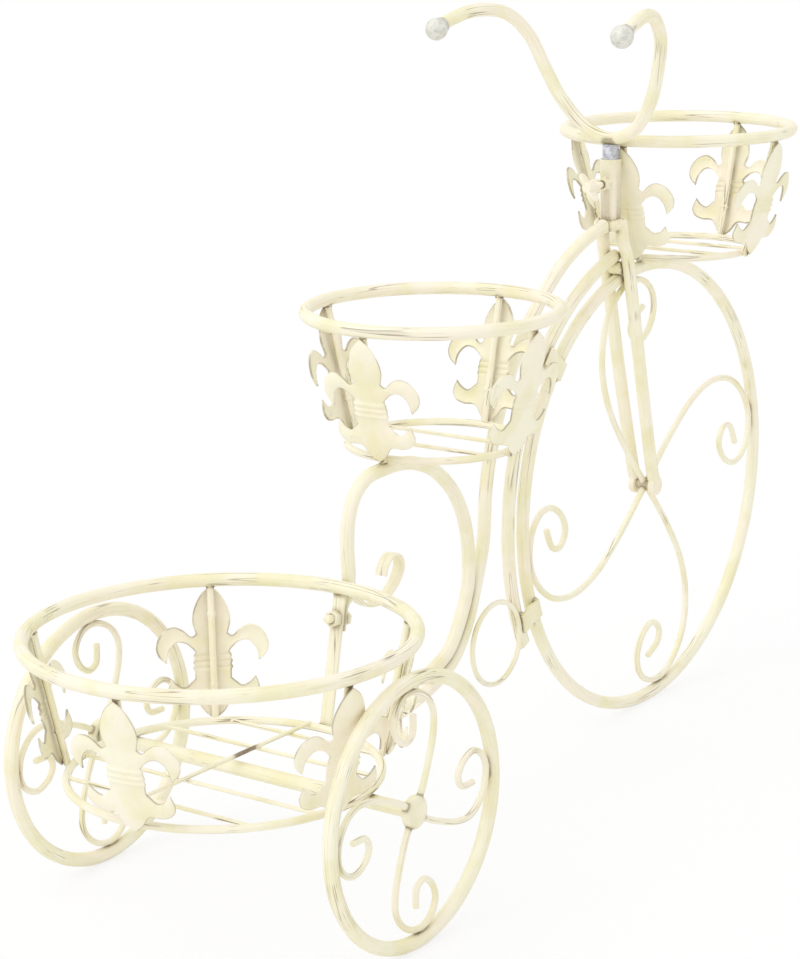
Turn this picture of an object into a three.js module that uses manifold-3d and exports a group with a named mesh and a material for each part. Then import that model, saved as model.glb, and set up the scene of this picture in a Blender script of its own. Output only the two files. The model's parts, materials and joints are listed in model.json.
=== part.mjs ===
// Tricycle-shaped plant stand: a big front wheel, two small rear wheels, three round pot baskets at
// three heights and a handlebar. Millimetres, +X towards the front wheel, +Z up, ground at Z = 0.
import * as THREE from "three";
import { mergeVertices } from "three/addons/utils/BufferGeometryUtils.js";
import Module from "manifold-3d";

const wasm = await Module();
wasm.setup();

// ---- driving dimensions ----------------------------------------------------------------------
const CLEAR = 0.3; // space left between touching pieces
const TUBE = 10; // outside diameter of the frame tubes and wheel hoops
const RIM_TUBE = 9.5; // outside diameter of the basket rims
const RING_ROD = 5.5; // rod of the basket base rings
const RIB_ROD = 5; // rod of the basket ribs
const FLOOR_WIRE = 3; // wire of the basket floors
const FRONT_SCROLL_ROD = 5; // rod of the front wheel scrolls
const REAR_SCROLL_ROD = 4.5; // rod of the rear wheel scrolls
const PLATE = 2; // thickness of the stamped lilies

const FRONT_WHEEL = 180; // centre-line radius of the front hoop
const REAR_WHEEL = 89; // centre-line radius of the rear hoops
const WHEELBASE = 511; // front wheel centre to rear axle
const TRACK = 271; // between the planes of the rear wheels

const HEAD_X = -55; // head tube axis, from the front wheel centre
const HEAD_ABOVE_HOOP = 35; // from the front hoop's centre line to the head tube's lower end
const HEAD_LENGTH = 55.5;
const HEAD_OUTER = 16.5; // outside diameter of the head tube
const STEM_OUTER = 12.8; // outside diameter of the handlebar stem
const STEM_DEPTH = 46; // length of stem inside the head tube
const BAR_ABOVE_HEAD = 15.5; // from the head tube's top to the handlebar's lowest centre-line point
const SCREW_BELOW_TOP = 18.5; // from the head tube's top to the clamp screw's axis
const SCREW_ROD = 5;

const MUDGUARD_GAP = 10; // clear space between the front hoop and the tube that follows it
const MAIN_OFFSET = 53.4; // front hoop centre line to main tube centre line, along the upper bow

// Each basket: centre from the front wheel centre, rim and base ring radii and the height between them.
const BASKET_HEIGHT = 95.5;
const LOWER_BEHIND = 27; // lower basket's centre behind the rear axle
const MIDDLE_GAP = 2.47; // from the main tube to the foot of the middle basket's nearest lily
const FRONT_AHEAD = 47; // front basket's centre ahead of the front wheel's
const WHEEL_SIDE_GAP = 6; // from the lower rim's centre line to the planes of the rear wheels
const LOWER_FLARE = 25; // how much wider the lower rim is than its base ring
const MIDDLE_RIM = 90.5; // centre-line radii of the rims and of the base rings
const MIDDLE_BASE = 62.5;
const FRONT_RIM = 90;
const FRONT_BASE = 59.5;
const LOWER_RIBS = [43, 115, 190, 258, 323]; // degrees round each basket, from +X, as they were welded
const MIDDLE_RIBS = [2, 94, 183, 267];
const FRONT_RIBS = [-3, 96, 182, 268];
const LOWER_FLOOR = [-67, -27, 48, 83]; // floor wires across the basket, from its centre along X
const UPPER_FLOOR = [-17, 20];
const LOWER_CROSS_WIRE_Y = 9; // the one long wire, laid on the others

const LILY_HEIGHT = 94;
const LILY_HALF_WIDTH = 40;
const LILY_FLAT = 14; // half width of the part that stays flat, over the rib

const ARCH_RISE = 86; // arch top above the front wheel's centre
const ARCH_REACH = 41.95; // from the arch's rear leg to its highest point
const POST_WIDTH = 10;
const POST_THICKNESS = 3.5;
const BOLT_HEIGHT = 176; // of the bolt that joins the arch to the rear basket
const BOLT_ROD = 6;
const TAIL_RING = 31.5; // centre-line radius of the small ring behind the mudguard tube
const TAIL_RING_ROD = 4;
const HUB_DISC = 22; // diameter of the rear wheel hub discs
const HUB_DISC_THICKNESS = 5.5;
const HUB_PIN = 9; // diameter of the front hub pin
const KNOB = 17; // diameter of the handlebar ball ends

// ---- derived heights and places --------------------------------------------------------------
const FRONT_Z = FRONT_WHEEL + TUBE / 2;
const REAR_Z = REAR_WHEEL + TUBE / 2;
const REAR_X = -WHEELBASE;
const HEAD_BOTTOM = FRONT_Z + FRONT_WHEEL + HEAD_ABOVE_HOOP;
const HEAD_TOP = HEAD_BOTTOM + HEAD_LENGTH;
const BAR_BOTTOM = HEAD_TOP + BAR_ABOVE_HEAD;
const SCREW_Z = HEAD_TOP - SCREW_BELOW_TOP;
const MUDGUARD = FRONT_WHEEL + TUBE + MUDGUARD_GAP;
const ARCH_TOP = FRONT_Z + ARCH_RISE; // centre line of the arch at its highest point
const LOWER_BASE_Z = REAR_Z + TUBE / 2 + CLEAR + RING_ROD / 2;
const MIDDLE_BASE_Z = ARCH_TOP + TUBE / 2 + CLEAR + RING_ROD / 2;
const FRONT_BASE_Z = FRONT_Z + FRONT_WHEEL + TUBE / 2 + CLEAR + RING_ROD / 2;
const LOWER_RIM = TRACK / 2 - WHEEL_SIDE_GAP; // the lower basket stands between the rear wheels
const LOWER_BASE = LOWER_RIM - LOWER_FLARE;
// The middle basket clears the main tube's bow at the height where its lilies end.
const BOW_BACK = FRONT_WHEEL + MAIN_OFFSET + TUBE / 2 + MIDDLE_GAP;
const LILY_FOOT = MIDDLE_BASE + RING_ROD / 2 + RIB_ROD + PLATE;
const MIDDLE_X = -Math.sqrt(BOW_BACK ** 2 - (MIDDLE_BASE_Z - FRONT_Z) ** 2) - LILY_FOOT;
const LOWER = { x: REAR_X - LOWER_BEHIND, rim: LOWER_RIM, base: LOWER_BASE };
const MIDDLE = { x: MIDDLE_X, rim: MIDDLE_RIM, base: MIDDLE_BASE };
const FRONT = { x: FRONT_AHEAD, rim: FRONT_RIM, base: FRONT_BASE };
const ARCH_LEG_X = LOWER.x + LOWER.rim + RIM_TUBE / 2 + CLEAR + TUBE / 2; // against the lower rim
const ARCH_APEX_X = ARCH_LEG_X + ARCH_REACH;
const REARMOST = LOWER.x - LOWER.rim - RIM_TUBE / 2;
const FOREMOST = FRONT_WHEEL + TUBE / 2;
const SHIFT_X = -(REARMOST + FOREMOST) / 2; // brings the middle of the whole length to X = 0

const CREAM = new THREE.MeshStandardMaterial({ color: 0xf0e6c8, roughness: 0.55, metalness: 0 });
const STEEL = new THREE.MeshStandardMaterial({ color: 0xc9c9cb, roughness: 0.35, metalness: 0.9 });
const KNOB_PAINT = new THREE.MeshStandardMaterial({ color: 0xe6e4da, roughness: 0.4, metalness: 0.2 });

const stand = new THREE.Group();
stand.name = "flower_cart_stand";

// ---- geometry helpers ------------------------------------------------------------------------
// A closed geometry as a solid that can be joined to and cut by others.
function toSolid(geometry) {
  const flat = geometry.index ? geometry.toNonIndexed() : geometry;
  const bare = new THREE.BufferGeometry();
  bare.setAttribute("position", flat.getAttribute("position").clone());
  const merged = mergeVertices(bare, 1e-4);
  const solid = new wasm.Manifold(
    new wasm.Mesh({
      numProp: 3,
      vertProperties: new Float32Array(merged.attributes.position.array),
      triVerts: new Uint32Array(merged.index.array),
    }),
  );
  if (solid.volume() > 0) return solid;
  const turned = new Uint32Array(merged.index.array);
  for (let i = 0; i < turned.length; i += 3) [turned[i], turned[i + 1]] = [turned[i + 1], turned[i]];
  return new wasm.Manifold(
    new wasm.Mesh({
      numProp: 3,
      vertProperties: new Float32Array(merged.attributes.position.array),
      triVerts: turned,
    }),
  );
}

function toGeometry(solid) {
  const mesh = solid.getMesh();
  const indexed = new THREE.BufferGeometry();
  indexed.setAttribute("position", new THREE.BufferAttribute(mesh.vertProperties, 3));
  indexed.setIndex(new THREE.BufferAttribute(mesh.triVerts, 1));
  const flat = indexed.toNonIndexed();
  flat.computeVertexNormals();
  return flat;
}

function add(name, solid, material = CREAM) {
  const mesh = new THREE.Mesh(toGeometry(solid), material);
  mesh.name = name;
  mesh.position.x = SHIFT_X;
  stand.add(mesh);
}

// A regular section whose flats lie at the given diameter, two of them facing along its second axis.
function section(diameter, sides) {
  const corner = diameter / 2 / Math.cos(Math.PI / sides);
  const points = [];
  for (let i = 0; i < sides; i++) {
    const angle = Math.PI / 2 + ((2 * i + 1) * Math.PI) / sides;
    points.push(new THREE.Vector2(corner * Math.cos(angle), corner * Math.sin(angle)));
  }
  return points;
}

// Passes its points at even steps between them, so that close points make fine steps.
class StationCurve extends THREE.CatmullRomCurve3 {
  getSpacedPoints(count) {
    return this.getPoints(count);
  }
  getTangentAt(t, target) {
    return this.getTangent(t, target);
  }
}

function tube(points, diameter, steps, sides = 8) {
  const vectors = points.map((p) => new THREE.Vector3(...p));
  const geometry = new THREE.ExtrudeGeometry(new THREE.Shape(section(diameter, sides)), {
    steps,
    bevelEnabled: false,
    extrudePath: new StationCurve(vectors, false, "centripetal"),
  });
  return toSolid(geometry);
}

// A straight round bar between two points.
function bar(from, to, diameter, sides = 8) {
  const a = new THREE.Vector3(...from);
  const b = new THREE.Vector3(...to);
  const direction = b.clone().sub(a);
  const corner = diameter / 2 / Math.cos(Math.PI / sides);
  const geometry = new THREE.CylinderGeometry(corner, corner, direction.length(), sides, 1);
  geometry.rotateY(Math.PI / sides);
  const turn = new THREE.Quaternion().setFromUnitVectors(
    new THREE.Vector3(0, 1, 0),
    direction.clone().normalize(),
  );
  geometry.applyQuaternion(turn);
  geometry.translate(...a.add(b).multiplyScalar(0.5).toArray());
  return toSolid(geometry);
}

// A ring of tube about the Y axis, its flats set so that its reach is exact along X and Z.
function ringAboutY(radius, diameter, segments, sides = 8) {
  const spread = 1 / Math.cos(Math.PI / segments);
  const profile = section(diameter, sides).map((p) => new THREE.Vector2((radius + p.x) * spread, p.y));
  profile.push(profile[0].clone());
  return toSolid(new THREE.LatheGeometry(profile, segments, Math.PI / segments));
}

function ringAboutZ(radius, diameter, segments, sides = 8) {
  return ringAboutY(radius, diameter, segments, sides).rotate([90, 0, 0]);
}

// A turned solid about the Y axis from a closed profile of [radius, along] pairs.
function turned(profile, segments) {
  const points = profile.map(([radius, along]) => new THREE.Vector2(radius, along));
  points.push(points[0].clone());
  return toSolid(new THREE.LatheGeometry(points, segments));
}

function box(center, size) {
  const geometry = new THREE.BoxGeometry(...size);
  geometry.translate(...center);
  return toSolid(geometry);
}

// A flat band of the given thickness along a path of [x, z] points, centred on Y = 0.
function strip(points, thickness, width, steps) {
  const path = new THREE.SplineCurve(points.map(([x, z]) => new THREE.Vector2(x, z)));
  const left = [];
  const right = [];
  for (let i = 0; i <= steps; i++) {
    const p = path.getPoint(i / steps);
    const t = path.getTangent(i / steps);
    left.push(new THREE.Vector2(p.x - (t.y * thickness) / 2, p.y + (t.x * thickness) / 2));
    right.push(new THREE.Vector2(p.x + (t.y * thickness) / 2, p.y - (t.x * thickness) / 2));
  }
  const outline = new THREE.Shape([...left, ...right.reverse()]);
  const geometry = new THREE.ExtrudeGeometry(outline, { depth: width, bevelEnabled: false });
  geometry.translate(0, 0, -width / 2);
  return toSolid(geometry).rotate([90, 0, 0]);
}

const polar = (radius, degrees) => [
  radius * Math.cos((degrees * Math.PI) / 180),
  radius * Math.sin((degrees * Math.PI) / 180),
];

// ---- wheels ----------------------------------------------------------------------------------
// Scroll spokes leave the hub in a bow, run along the hoop and curl back. [outward, sideways], in
// shares of the radius at which the spoke touches the hoop.
const FRONT_SCROLL = [
  [0.01, 0.01], [0.233, 0.198], [0.436, 0.331], [0.622, 0.384], [0.797, 0.358], [0.917, 0.27],
  [0.981, 0.15], [0.963, 0.02], [0.9, -0.05], [0.814, -0.062], [0.728, -0.012], [0.692, 0.067],
  [0.738, 0.135], [0.797, 0.125], [0.85, 0.03],
];
const REAR_SCROLL = [
  [0.03, 0.02], [0.17, 0.11], [0.38, 0.2], [0.58, 0.262], [0.735, 0.268], [0.86, 0.205], [0.955, 0.07],
  [0.975, -0.09], [0.908, -0.21], [0.785, -0.262], [0.65, -0.205], [0.59, -0.1], [0.635, -0.015],
  [0.8, 0.0],
];

// The farthest that the centre line of a scroll of this rod reaches inside a hoop.
const touchRadius = (wheel, rod) => wheel - TUBE / 2 - CLEAR - rod / 2;

function scroll(shape, touch, quarter, side, centre, y, rod, steps) {
  const flat = shape.map(([out, across]) => new THREE.Vector3(out, 0, across * side));
  const sampled = new StationCurve(flat, false, "centripetal").getPoints(steps);
  const scale = touch / Math.max(...sampled.map((p) => p.length()));
  const angle = (quarter * Math.PI) / 2;
  const points = flat.map((p) => [
    centre[0] + scale * (p.x * Math.cos(angle) - p.z * Math.sin(angle)),
    y,
    centre[1] + scale * (p.x * Math.sin(angle) + p.z * Math.cos(angle)),
  ]);
  return tube(points, rod, steps, 6);
}

function frontWheel() {
  add("front_hoop", ringAboutY(FRONT_WHEEL, TUBE, 40).translate([0, 0, FRONT_Z]));
  const legInner = HUB_PIN / 2 + 2;
  const pin = bar([0, -legInner + CLEAR, FRONT_Z], [0, legInner - CLEAR, FRONT_Z], HUB_PIN, 12);
  add("front_hub_pin", pin);
  const hollow = bar([0, -20, FRONT_Z], [0, 20, FRONT_Z], HUB_PIN + 2 * CLEAR, 12);
  const touch = touchRadius(FRONT_WHEEL, FRONT_SCROLL_ROD);
  for (let quarter = 0; quarter < 4; quarter++) {
    const spoke = scroll(FRONT_SCROLL, touch, quarter, 1, [0, FRONT_Z], 0, FRONT_SCROLL_ROD, 22);
    add(`front_scroll_${quarter + 1}`, spoke.subtract(hollow));
  }
}

function rearWheel(side, name) {
  const y = (side * TRACK) / 2;
  add(`rear_hoop_${name}`, ringAboutY(REAR_WHEEL, TUBE, 28).translate([REAR_X, y, REAR_Z]));
  const half = HUB_DISC_THICKNESS / 2;
  const disc = (grow) =>
    bar([REAR_X, y - half - grow, REAR_Z], [REAR_X, y + half + grow, REAR_Z], HUB_DISC + 2 * grow, 16);
  add(`rear_hub_${name}`, disc(0));
  const hollow = disc(CLEAR);
  const touch = touchRadius(REAR_WHEEL, REAR_SCROLL_ROD);
  for (let quarter = 0; quarter < 4; quarter++) {
    const centre = [REAR_X, REAR_Z];
    const spoke = scroll(REAR_SCROLL, touch, quarter, -1, centre, y, REAR_SCROLL_ROD, 18);
    add(`rear_scroll_${name}_${quarter + 1}`, spoke.subtract(hollow));
  }
}

function rearAxle() {
  const end = TRACK / 2 - HUB_DISC_THICKNESS / 2 - CLEAR;
  add("rear_axle", bar([REAR_X, -end, REAR_Z], [REAR_X, end, REAR_Z], TUBE));
}

// ---- frame tubes -----------------------------------------------------------------------------
const MAIN_BOW = [];
for (let i = 0; i <= 5; i++) {
  const [x, z] = polar(FRONT_WHEEL + MAIN_OFFSET, 124 + i * 11);
  MAIN_BOW.push([x, 0, FRONT_Z + z]);
}
// The tail of the main tube, behind the bow and below the wheel's centre.
const MAIN_TAIL = [[10.6, 27], [22.6, 54], [40.6, 76], [69.6, 89.5], [107.6, 98]];
const MAIN_PATH = [
  [HEAD_X - HEAD_OUTER / 2 + 4, 0, HEAD_BOTTOM + TUBE / 2 + 0.5],
  [HEAD_X - 33, 0, HEAD_BOTTOM - 1.5],
  [HEAD_X - 57, 0, HEAD_BOTTOM - 11],
  ...MAIN_BOW,
  ...MAIN_TAIL.map(([behind, below]) => [-FRONT_WHEEL - MAIN_OFFSET - behind, 0, FRONT_Z - below]),
];

// The head tube with the working gap round it, to cut the tubes that butt against it.
const headRoom = () =>
  bar([HEAD_X, 0, HEAD_BOTTOM - CLEAR], [HEAD_X, 0, HEAD_TOP], HEAD_OUTER + 2 * CLEAR, 20);

function mainTube() {
  add("main_tube", tube(MAIN_PATH, TUBE, 26).subtract(headRoom()));
}

const GUARD_PATH = [];
for (let i = 0; i <= 12; i++) {
  const [x, z] = polar(MUDGUARD, 103.5 + (i * 103) / 12);
  GUARD_PATH.push([x, 0, FRONT_Z + z]);
}

function mudguard() {
  const [footX, footZ] = polar(MUDGUARD, 205.5);
  const foot = box([0, 0, 0], [13, 6, 15]).rotate([0, -27, 0]).translate([footX, 0, FRONT_Z + footZ]);
  add("mudguard_tube", tube(GUARD_PATH, TUBE, 22).add(foot));
}

// A flat strap welded to one side of the front hoop and of the tube that follows it.
function strap(name, degrees) {
  const [x, z] = polar((MUDGUARD + FRONT_WHEEL) / 2, degrees);
  const plate = box([0, 0, 0], [25, 2.5, 15]).rotate([0, -degrees, 0]);
  add(name, plate.translate([x, -(TUBE / 2 + CLEAR + 1.25), FRONT_Z + z]));
}

function crownPin() {
  const [x, z] = polar((MUDGUARD + FRONT_WHEEL) / 2, 104);
  const end = LEG_Y - TUBE / 2 - CLEAR;
  const pin = bar([x, -end, FRONT_Z + z], [x, end, FRONT_Z + z], MUDGUARD_GAP, 12);
  const hoopRoom = ringAboutY(FRONT_WHEEL, TUBE + 2 * CLEAR, 40).translate([0, 0, FRONT_Z]);
  const guardRoom = tube(GUARD_PATH, TUBE + 2 * CLEAR, 22);
  add("crown_pin", pin.subtract(hoopRoom).subtract(guardRoom));
}

const LEG_Y = TUBE + CLEAR; // fork leg from the middle plane, where the hoop passes between the legs

function forkLeg(side, name) {
  const hubY = HUB_PIN / 2 + 2 + 2.5;
  const path = [
    [HEAD_X + 2, side * (LEG_Y - 2.2), HEAD_BOTTOM + 8.5],
    [HEAD_X + 4, side * (LEG_Y - 1), HEAD_BOTTOM - 9],
    [HEAD_X + 7.5, side * LEG_Y, HEAD_BOTTOM - 19],
    [HEAD_X + 15, side * LEG_Y, HEAD_BOTTOM - 50],
    [HEAD_X * 0.4, side * (LEG_Y - 0.5), FRONT_Z + 85],
    [-4.5, side * hubY, FRONT_Z + 14],
    [-1.5, side * hubY, FRONT_Z + 5],
  ];
  const eye = bar([0, side * (hubY - 2.5), FRONT_Z], [0, side * (hubY + 2.5), FRONT_Z], 16, 16);
  const hoop = ringAboutY(FRONT_WHEEL, TUBE + 2 * CLEAR, 40).translate([0, 0, FRONT_Z]);
  const leg = tube(path, TUBE, 14).add(eye);
  add(`fork_leg_${name}`, leg.subtract(hoop).subtract(headRoom()));
}

function headTube() {
  const outer = HEAD_OUTER / 2;
  const bore = STEM_OUTER / 2 + CLEAR;
  const floor = HEAD_TOP - STEM_DEPTH - CLEAR;
  const profile = [
    [0, HEAD_BOTTOM],
    [outer, HEAD_BOTTOM],
    [outer, HEAD_TOP],
    [bore, HEAD_TOP],
    [bore, floor],
    [0, floor],
  ];
  const points = profile.map(([r, along]) => new THREE.Vector2(r, along));
  const tubeSolid = toSolid(new THREE.LatheGeometry(points, 20)).rotate([90, 0, 0]);
  const placed = tubeSolid.translate([HEAD_X, 0, 0]);
  // The nut welded on the back, and the threaded hole through it.
  const back = HEAD_X - outer;
  const nut = bar([back + 2, 0, SCREW_Z], [back - 4.5, 0, SCREW_Z], 9, 6);
  const bore2 = bar([back - 10, 0, SCREW_Z], [HEAD_X, 0, SCREW_Z], SCREW_ROD + 2 * CLEAR, 10);
  const stemSpace = bar([HEAD_X, 0, floor], [HEAD_X, 0, HEAD_TOP + 5], 2 * bore, 20);
  add("head_tube", placed.add(nut.subtract(stemSpace)).subtract(bore2));
}

function clampScrew() {
  const tip = HEAD_X - STEM_OUTER / 2 - CLEAR;
  const rod = bar([tip, 0, SCREW_Z], [tip - 24, 0, SCREW_Z], SCREW_ROD, 10);
  const hub = bar([tip - 20, 0, SCREW_Z], [tip - 29, 0, SCREW_Z], 8, 12);
  const wing = (turn) => {
    const outline = new THREE.Shape();
    outline.moveTo(-3, 0);
    outline.quadraticCurveTo(-6.5, 8, -2, 12);
    outline.quadraticCurveTo(4, 12.5, 4.5, 5);
    outline.lineTo(3.5, 0);
    const plate = new THREE.ExtrudeGeometry(outline, { depth: 2.4, bevelEnabled: false, curveSegments: 5 });
    plate.translate(0, 0, -1.2);
    return toSolid(plate).rotate([90 + turn, 0, 0]).translate([tip - 25, 0, SCREW_Z]);
  };
  add("clamp_screw", rod.add(hub).add(wing(-35)).add(wing(145)));
}

// ---- handlebar -------------------------------------------------------------------------------
const BAR_HALF = [
  [0, 0, 0],
  [-1, 12, 2.6],
  [-2.5, 25, 10.5],
  [-9, 41, 32],
  [-16, 51, 56],
  [-25, 58.5, 79],
  [-46, 65.5, 96.5],
  [-75, 74, 100.5],
  [-103, 79.5, 94.5],
  [-113, 80.5, 90.5],
];

function barPath() {
  const near = BAR_HALF.map(([x, y, z]) => [HEAD_X + x, y, BAR_BOTTOM + z]);
  const far = near.slice(1).map(([x, y, z]) => [x, -y, z]);
  return [...far.reverse(), ...near];
}

function handlebar() {
  const path = barPath();
  const barTube = tube(path, TUBE, 30, 8);
  add("handlebar", barTube);
  const room = tube(path, TUBE + 2 * CLEAR, 30, 8);
  const stem = bar(
    [HEAD_X, 0, HEAD_TOP - STEM_DEPTH],
    [HEAD_X, 0, BAR_BOTTOM + 1],
    STEM_OUTER,
    20,
  );
  const above = box([HEAD_X, 0, BAR_BOTTOM + 10], [40, 40, 20]);
  add("handlebar_stem", stem.subtract(room).subtract(above), STEEL);
  const last = new THREE.Vector3(...path[path.length - 1]);
  const before = new THREE.Vector3(...path[path.length - 2]);
  const out = last.clone().sub(before).normalize();
  for (const [name, side] of [["left", 1], ["right", -1]]) {
    const centre = last.clone().addScaledVector(out, KNOB * 0.22);
    const ball = new THREE.SphereGeometry(KNOB / 2, 14, 8);
    ball.rotateX(Math.PI / 2);
    ball.translate(centre.x, side * centre.y, centre.z);
    add(`knob_${name}`, toSolid(ball).subtract(room), KNOB_PAINT);
  }
}

// ---- arch, post and their joint --------------------------------------------------------------
const RIM_Z = LOWER_BASE_Z + BASKET_HEIGHT; // height of the lower rim
const POST_TOP = RIM_Z - RIM_TUBE / 2 - CLEAR;
const POST_FOOT = LOWER_BASE_Z - RING_ROD / 2;
// The post leans like the ribs, from under the rim to outside the base ring.
const postX = (z) => {
  const top = LOWER.x + LOWER.rim;
  const foot = LOWER.x + LOWER.base + RING_ROD / 2 + CLEAR + POST_THICKNESS / 2 + 0.3;
  return foot + ((top - foot) * (z - POST_FOOT)) / (POST_TOP - POST_FOOT);
};
const postLean = Math.atan((postX(POST_TOP) - postX(POST_FOOT)) / (POST_TOP - POST_FOOT));

function post() {
  const path = [
    [postX(POST_FOOT), POST_FOOT],
    [postX((POST_FOOT + POST_TOP) / 2), (POST_FOOT + POST_TOP) / 2],
    [postX(POST_TOP - 0.6), POST_TOP - 0.6],
  ];
  const hole = boltBar(BOLT_ROD + 2 * CLEAR, -20, 20);
  const rim = ringAboutZ(LOWER.rim, RIM_TUBE + 2 * CLEAR, 36).translate([LOWER.x, 0, RIM_Z]);
  add("joint_post", strip(path, POST_THICKNESS, POST_WIDTH, 2).subtract(hole).subtract(rim));
}

// A bar along the bolt's own axis, square to the leaning post.
function boltBar(diameter, from, to, sides = 12) {
  const x = postX(BOLT_HEIGHT);
  const dx = Math.cos(postLean);
  const dz = -Math.sin(postLean);
  return bar(
    [x + from * dx, 0, BOLT_HEIGHT + from * dz],
    [x + to * dx, 0, BOLT_HEIGHT + to * dz],
    diameter,
    sides,
  );
}

const TANG = 3; // thickness of the flattened end of the arch

// The front leg of the arch lies against the back of the main tube, all the way down its bend.
const archFoot = [];
for (let i = MAIN_PATH.length - MAIN_TAIL.length; i < MAIN_PATH.length - 1; i++) {
  const [x, , z] = MAIN_PATH[i];
  const [bx, , bz] = MAIN_PATH[i - 1];
  const [ax, , az] = MAIN_PATH[i + 1];
  const run = Math.hypot(ax - bx, az - bz);
  const off = TUBE + 1.6 * CLEAR;
  archFoot.push([x + ((az - bz) / run) * off, 0, z - ((ax - bx) / run) * off]);
}

// The front half of the arch, in shares of the way from its highest point to where it meets the tube.
const ARCH_FALL = [
  [0.292, 0.0137], [0.5743, 0.1099], [0.8176, 0.3022], [0.9636, 0.5403], [1.0123, 0.7876],
];

function arch() {
  const onward = archFoot[0][0] - ARCH_APEX_X;
  const drop = ARCH_TOP - archFoot[0][2];
  const path = [
    [ARCH_LEG_X, 0, RIM_Z + 4],
    [ARCH_LEG_X - 1, 0, RIM_Z + 24],
    [ARCH_LEG_X + 0.5, 0, RIM_Z + 44],
    [ARCH_LEG_X + 8, 0, RIM_Z + 61],
    [ARCH_APEX_X - 20, 0, ARCH_TOP - 2.6],
    [ARCH_APEX_X, 0, ARCH_TOP],
    ...ARCH_FALL.map(([on, down]) => [ARCH_APEX_X + on * onward, 0, ARCH_TOP - down * drop]),
    ...archFoot,
  ];
  const offset = POST_THICKNESS / 2 + CLEAR + TANG / 2 + 0.05;
  const onPost = (z) => [postX(z) + offset / Math.cos(postLean), z];
  const tang = strip(
    [
      [ARCH_LEG_X, RIM_Z + 8],
      [ARCH_LEG_X - 0.5, RIM_Z - 2],
      [ARCH_LEG_X - 2.5, RIM_Z - 9],
      onPost(BOLT_HEIGHT + 7),
      onPost(BOLT_HEIGHT),
      onPost(BOLT_HEIGHT - 9),
    ],
    TANG,
    TUBE,
    14,
  );
  const hole = boltBar(BOLT_ROD + 2 * CLEAR, -20, 20);
  const main = tube(MAIN_PATH, TUBE + 2 * CLEAR, 26);
  add("arch_tube", tube(path, TUBE, 30).add(tang).subtract(hole).subtract(main));
}

function scrollStrip() {
  const path = [
    [ARCH_LEG_X + 2.5, RIM_Z - 1],
    [ARCH_LEG_X + 7.5, RIM_Z - 12],
    [ARCH_LEG_X + 19.45, RIM_Z - 20],
    [ARCH_LEG_X + 35.45, RIM_Z - 20.5],
    [ARCH_LEG_X + 50.45, RIM_Z - 13],
    [ARCH_LEG_X + 58.95, RIM_Z - 2],
    [ARCH_LEG_X + 56.45, RIM_Z + 7.5],
    [ARCH_LEG_X + 47.45, RIM_Z + 9.5],
    [ARCH_LEG_X + 40.45, RIM_Z + 4],
    [ARCH_LEG_X + 37.45, RIM_Z - 3],
  ];
  add("scroll_strip", strip(path, 2.5, TUBE, 26).subtract(legRoom()));
}

// The arch leg and its flattened end, a little larger, to cut what rests against them.
function legRoom() {
  return box([ARCH_LEG_X - 10, 0, RIM_Z], [20 + TANG + 2 * CLEAR, 30, 60]);
}

function jointBolt() {
  const face = POST_THICKNESS / 2 + 2 * CLEAR + TANG + 0.1;
  const shank = boltBar(BOLT_ROD, -13, face + 3);
  const head = boltBar(10, face, face + 4.5, 6);
  add("joint_bolt", shank.add(head));
  const room = boltBar(BOLT_ROD + 2 * CLEAR, -20, 20);
  const nut = boltBar(10.5, -POST_THICKNESS / 2 - CLEAR - 6, -POST_THICKNESS / 2 - CLEAR, 6);
  add("joint_nut", nut.subtract(room));
}

// The small ring is welded to the near side of both tubes, a little off the middle plane.
function tailRing() {
  const touch = TUBE / 2 + TAIL_RING_ROD / 2 + CLEAR;
  const side = touch * 0.71;
  const reach = MUDGUARD + Math.sqrt(touch * touch - side * side) + TAIL_RING;
  const [x, z] = polar(reach, 198.6);
  const ring = ringAboutY(TAIL_RING, TAIL_RING_ROD, 26, 6).translate([x, -side, FRONT_Z + z]);
  const room = tube(MAIN_PATH, TUBE + 2 * CLEAR, 26);
  add("tail_ring", ring.subtract(room));
}

// ---- baskets ---------------------------------------------------------------------------------
// Half of the stamped lily, [across, down] from its tip, in shares of its half width and height.
const LILY = [
  [0, 0], [0.17, 0.06], [0.3, 0.16], [0.345, 0.26], [0.29, 0.355], [0.36, 0.385], [0.5, 0.325],
  [0.66, 0.295], [0.82, 0.312], [0.95, 0.37], [1, 0.445], [0.955, 0.51], [0.815, 0.57], [0.77, 0.475],
  [0.63, 0.415], [0.45, 0.43], [0.31, 0.49], [0.33, 0.555], [0.33, 0.69], [0.5, 0.75], [0.63, 0.73],
  [0.75, 0.68], [0.81, 0.775], [0.73, 0.835], [0.55, 0.865], [0.32, 0.868], [0.17, 0.945], [0, 1],
];

// The slope shared by the ribs and lilies of a basket: where a piece stands, going down from the rim.
function slope(basket, baseZ) {
  const ribFoot = basket.base + RING_ROD / 2 + RIB_ROD / 2 - 0.8;
  const length = Math.hypot(basket.rim - ribFoot, BASKET_HEIGHT);
  return {
    in: (basket.rim - ribFoot) / length,
    down: BASKET_HEIGHT / length,
    length,
    at: (s) => ({
      r: basket.rim - (s * (basket.rim - ribFoot)) / length,
      z: baseZ + BASKET_HEIGHT - (s * BASKET_HEIGHT) / length,
    }),
  };
}

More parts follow.
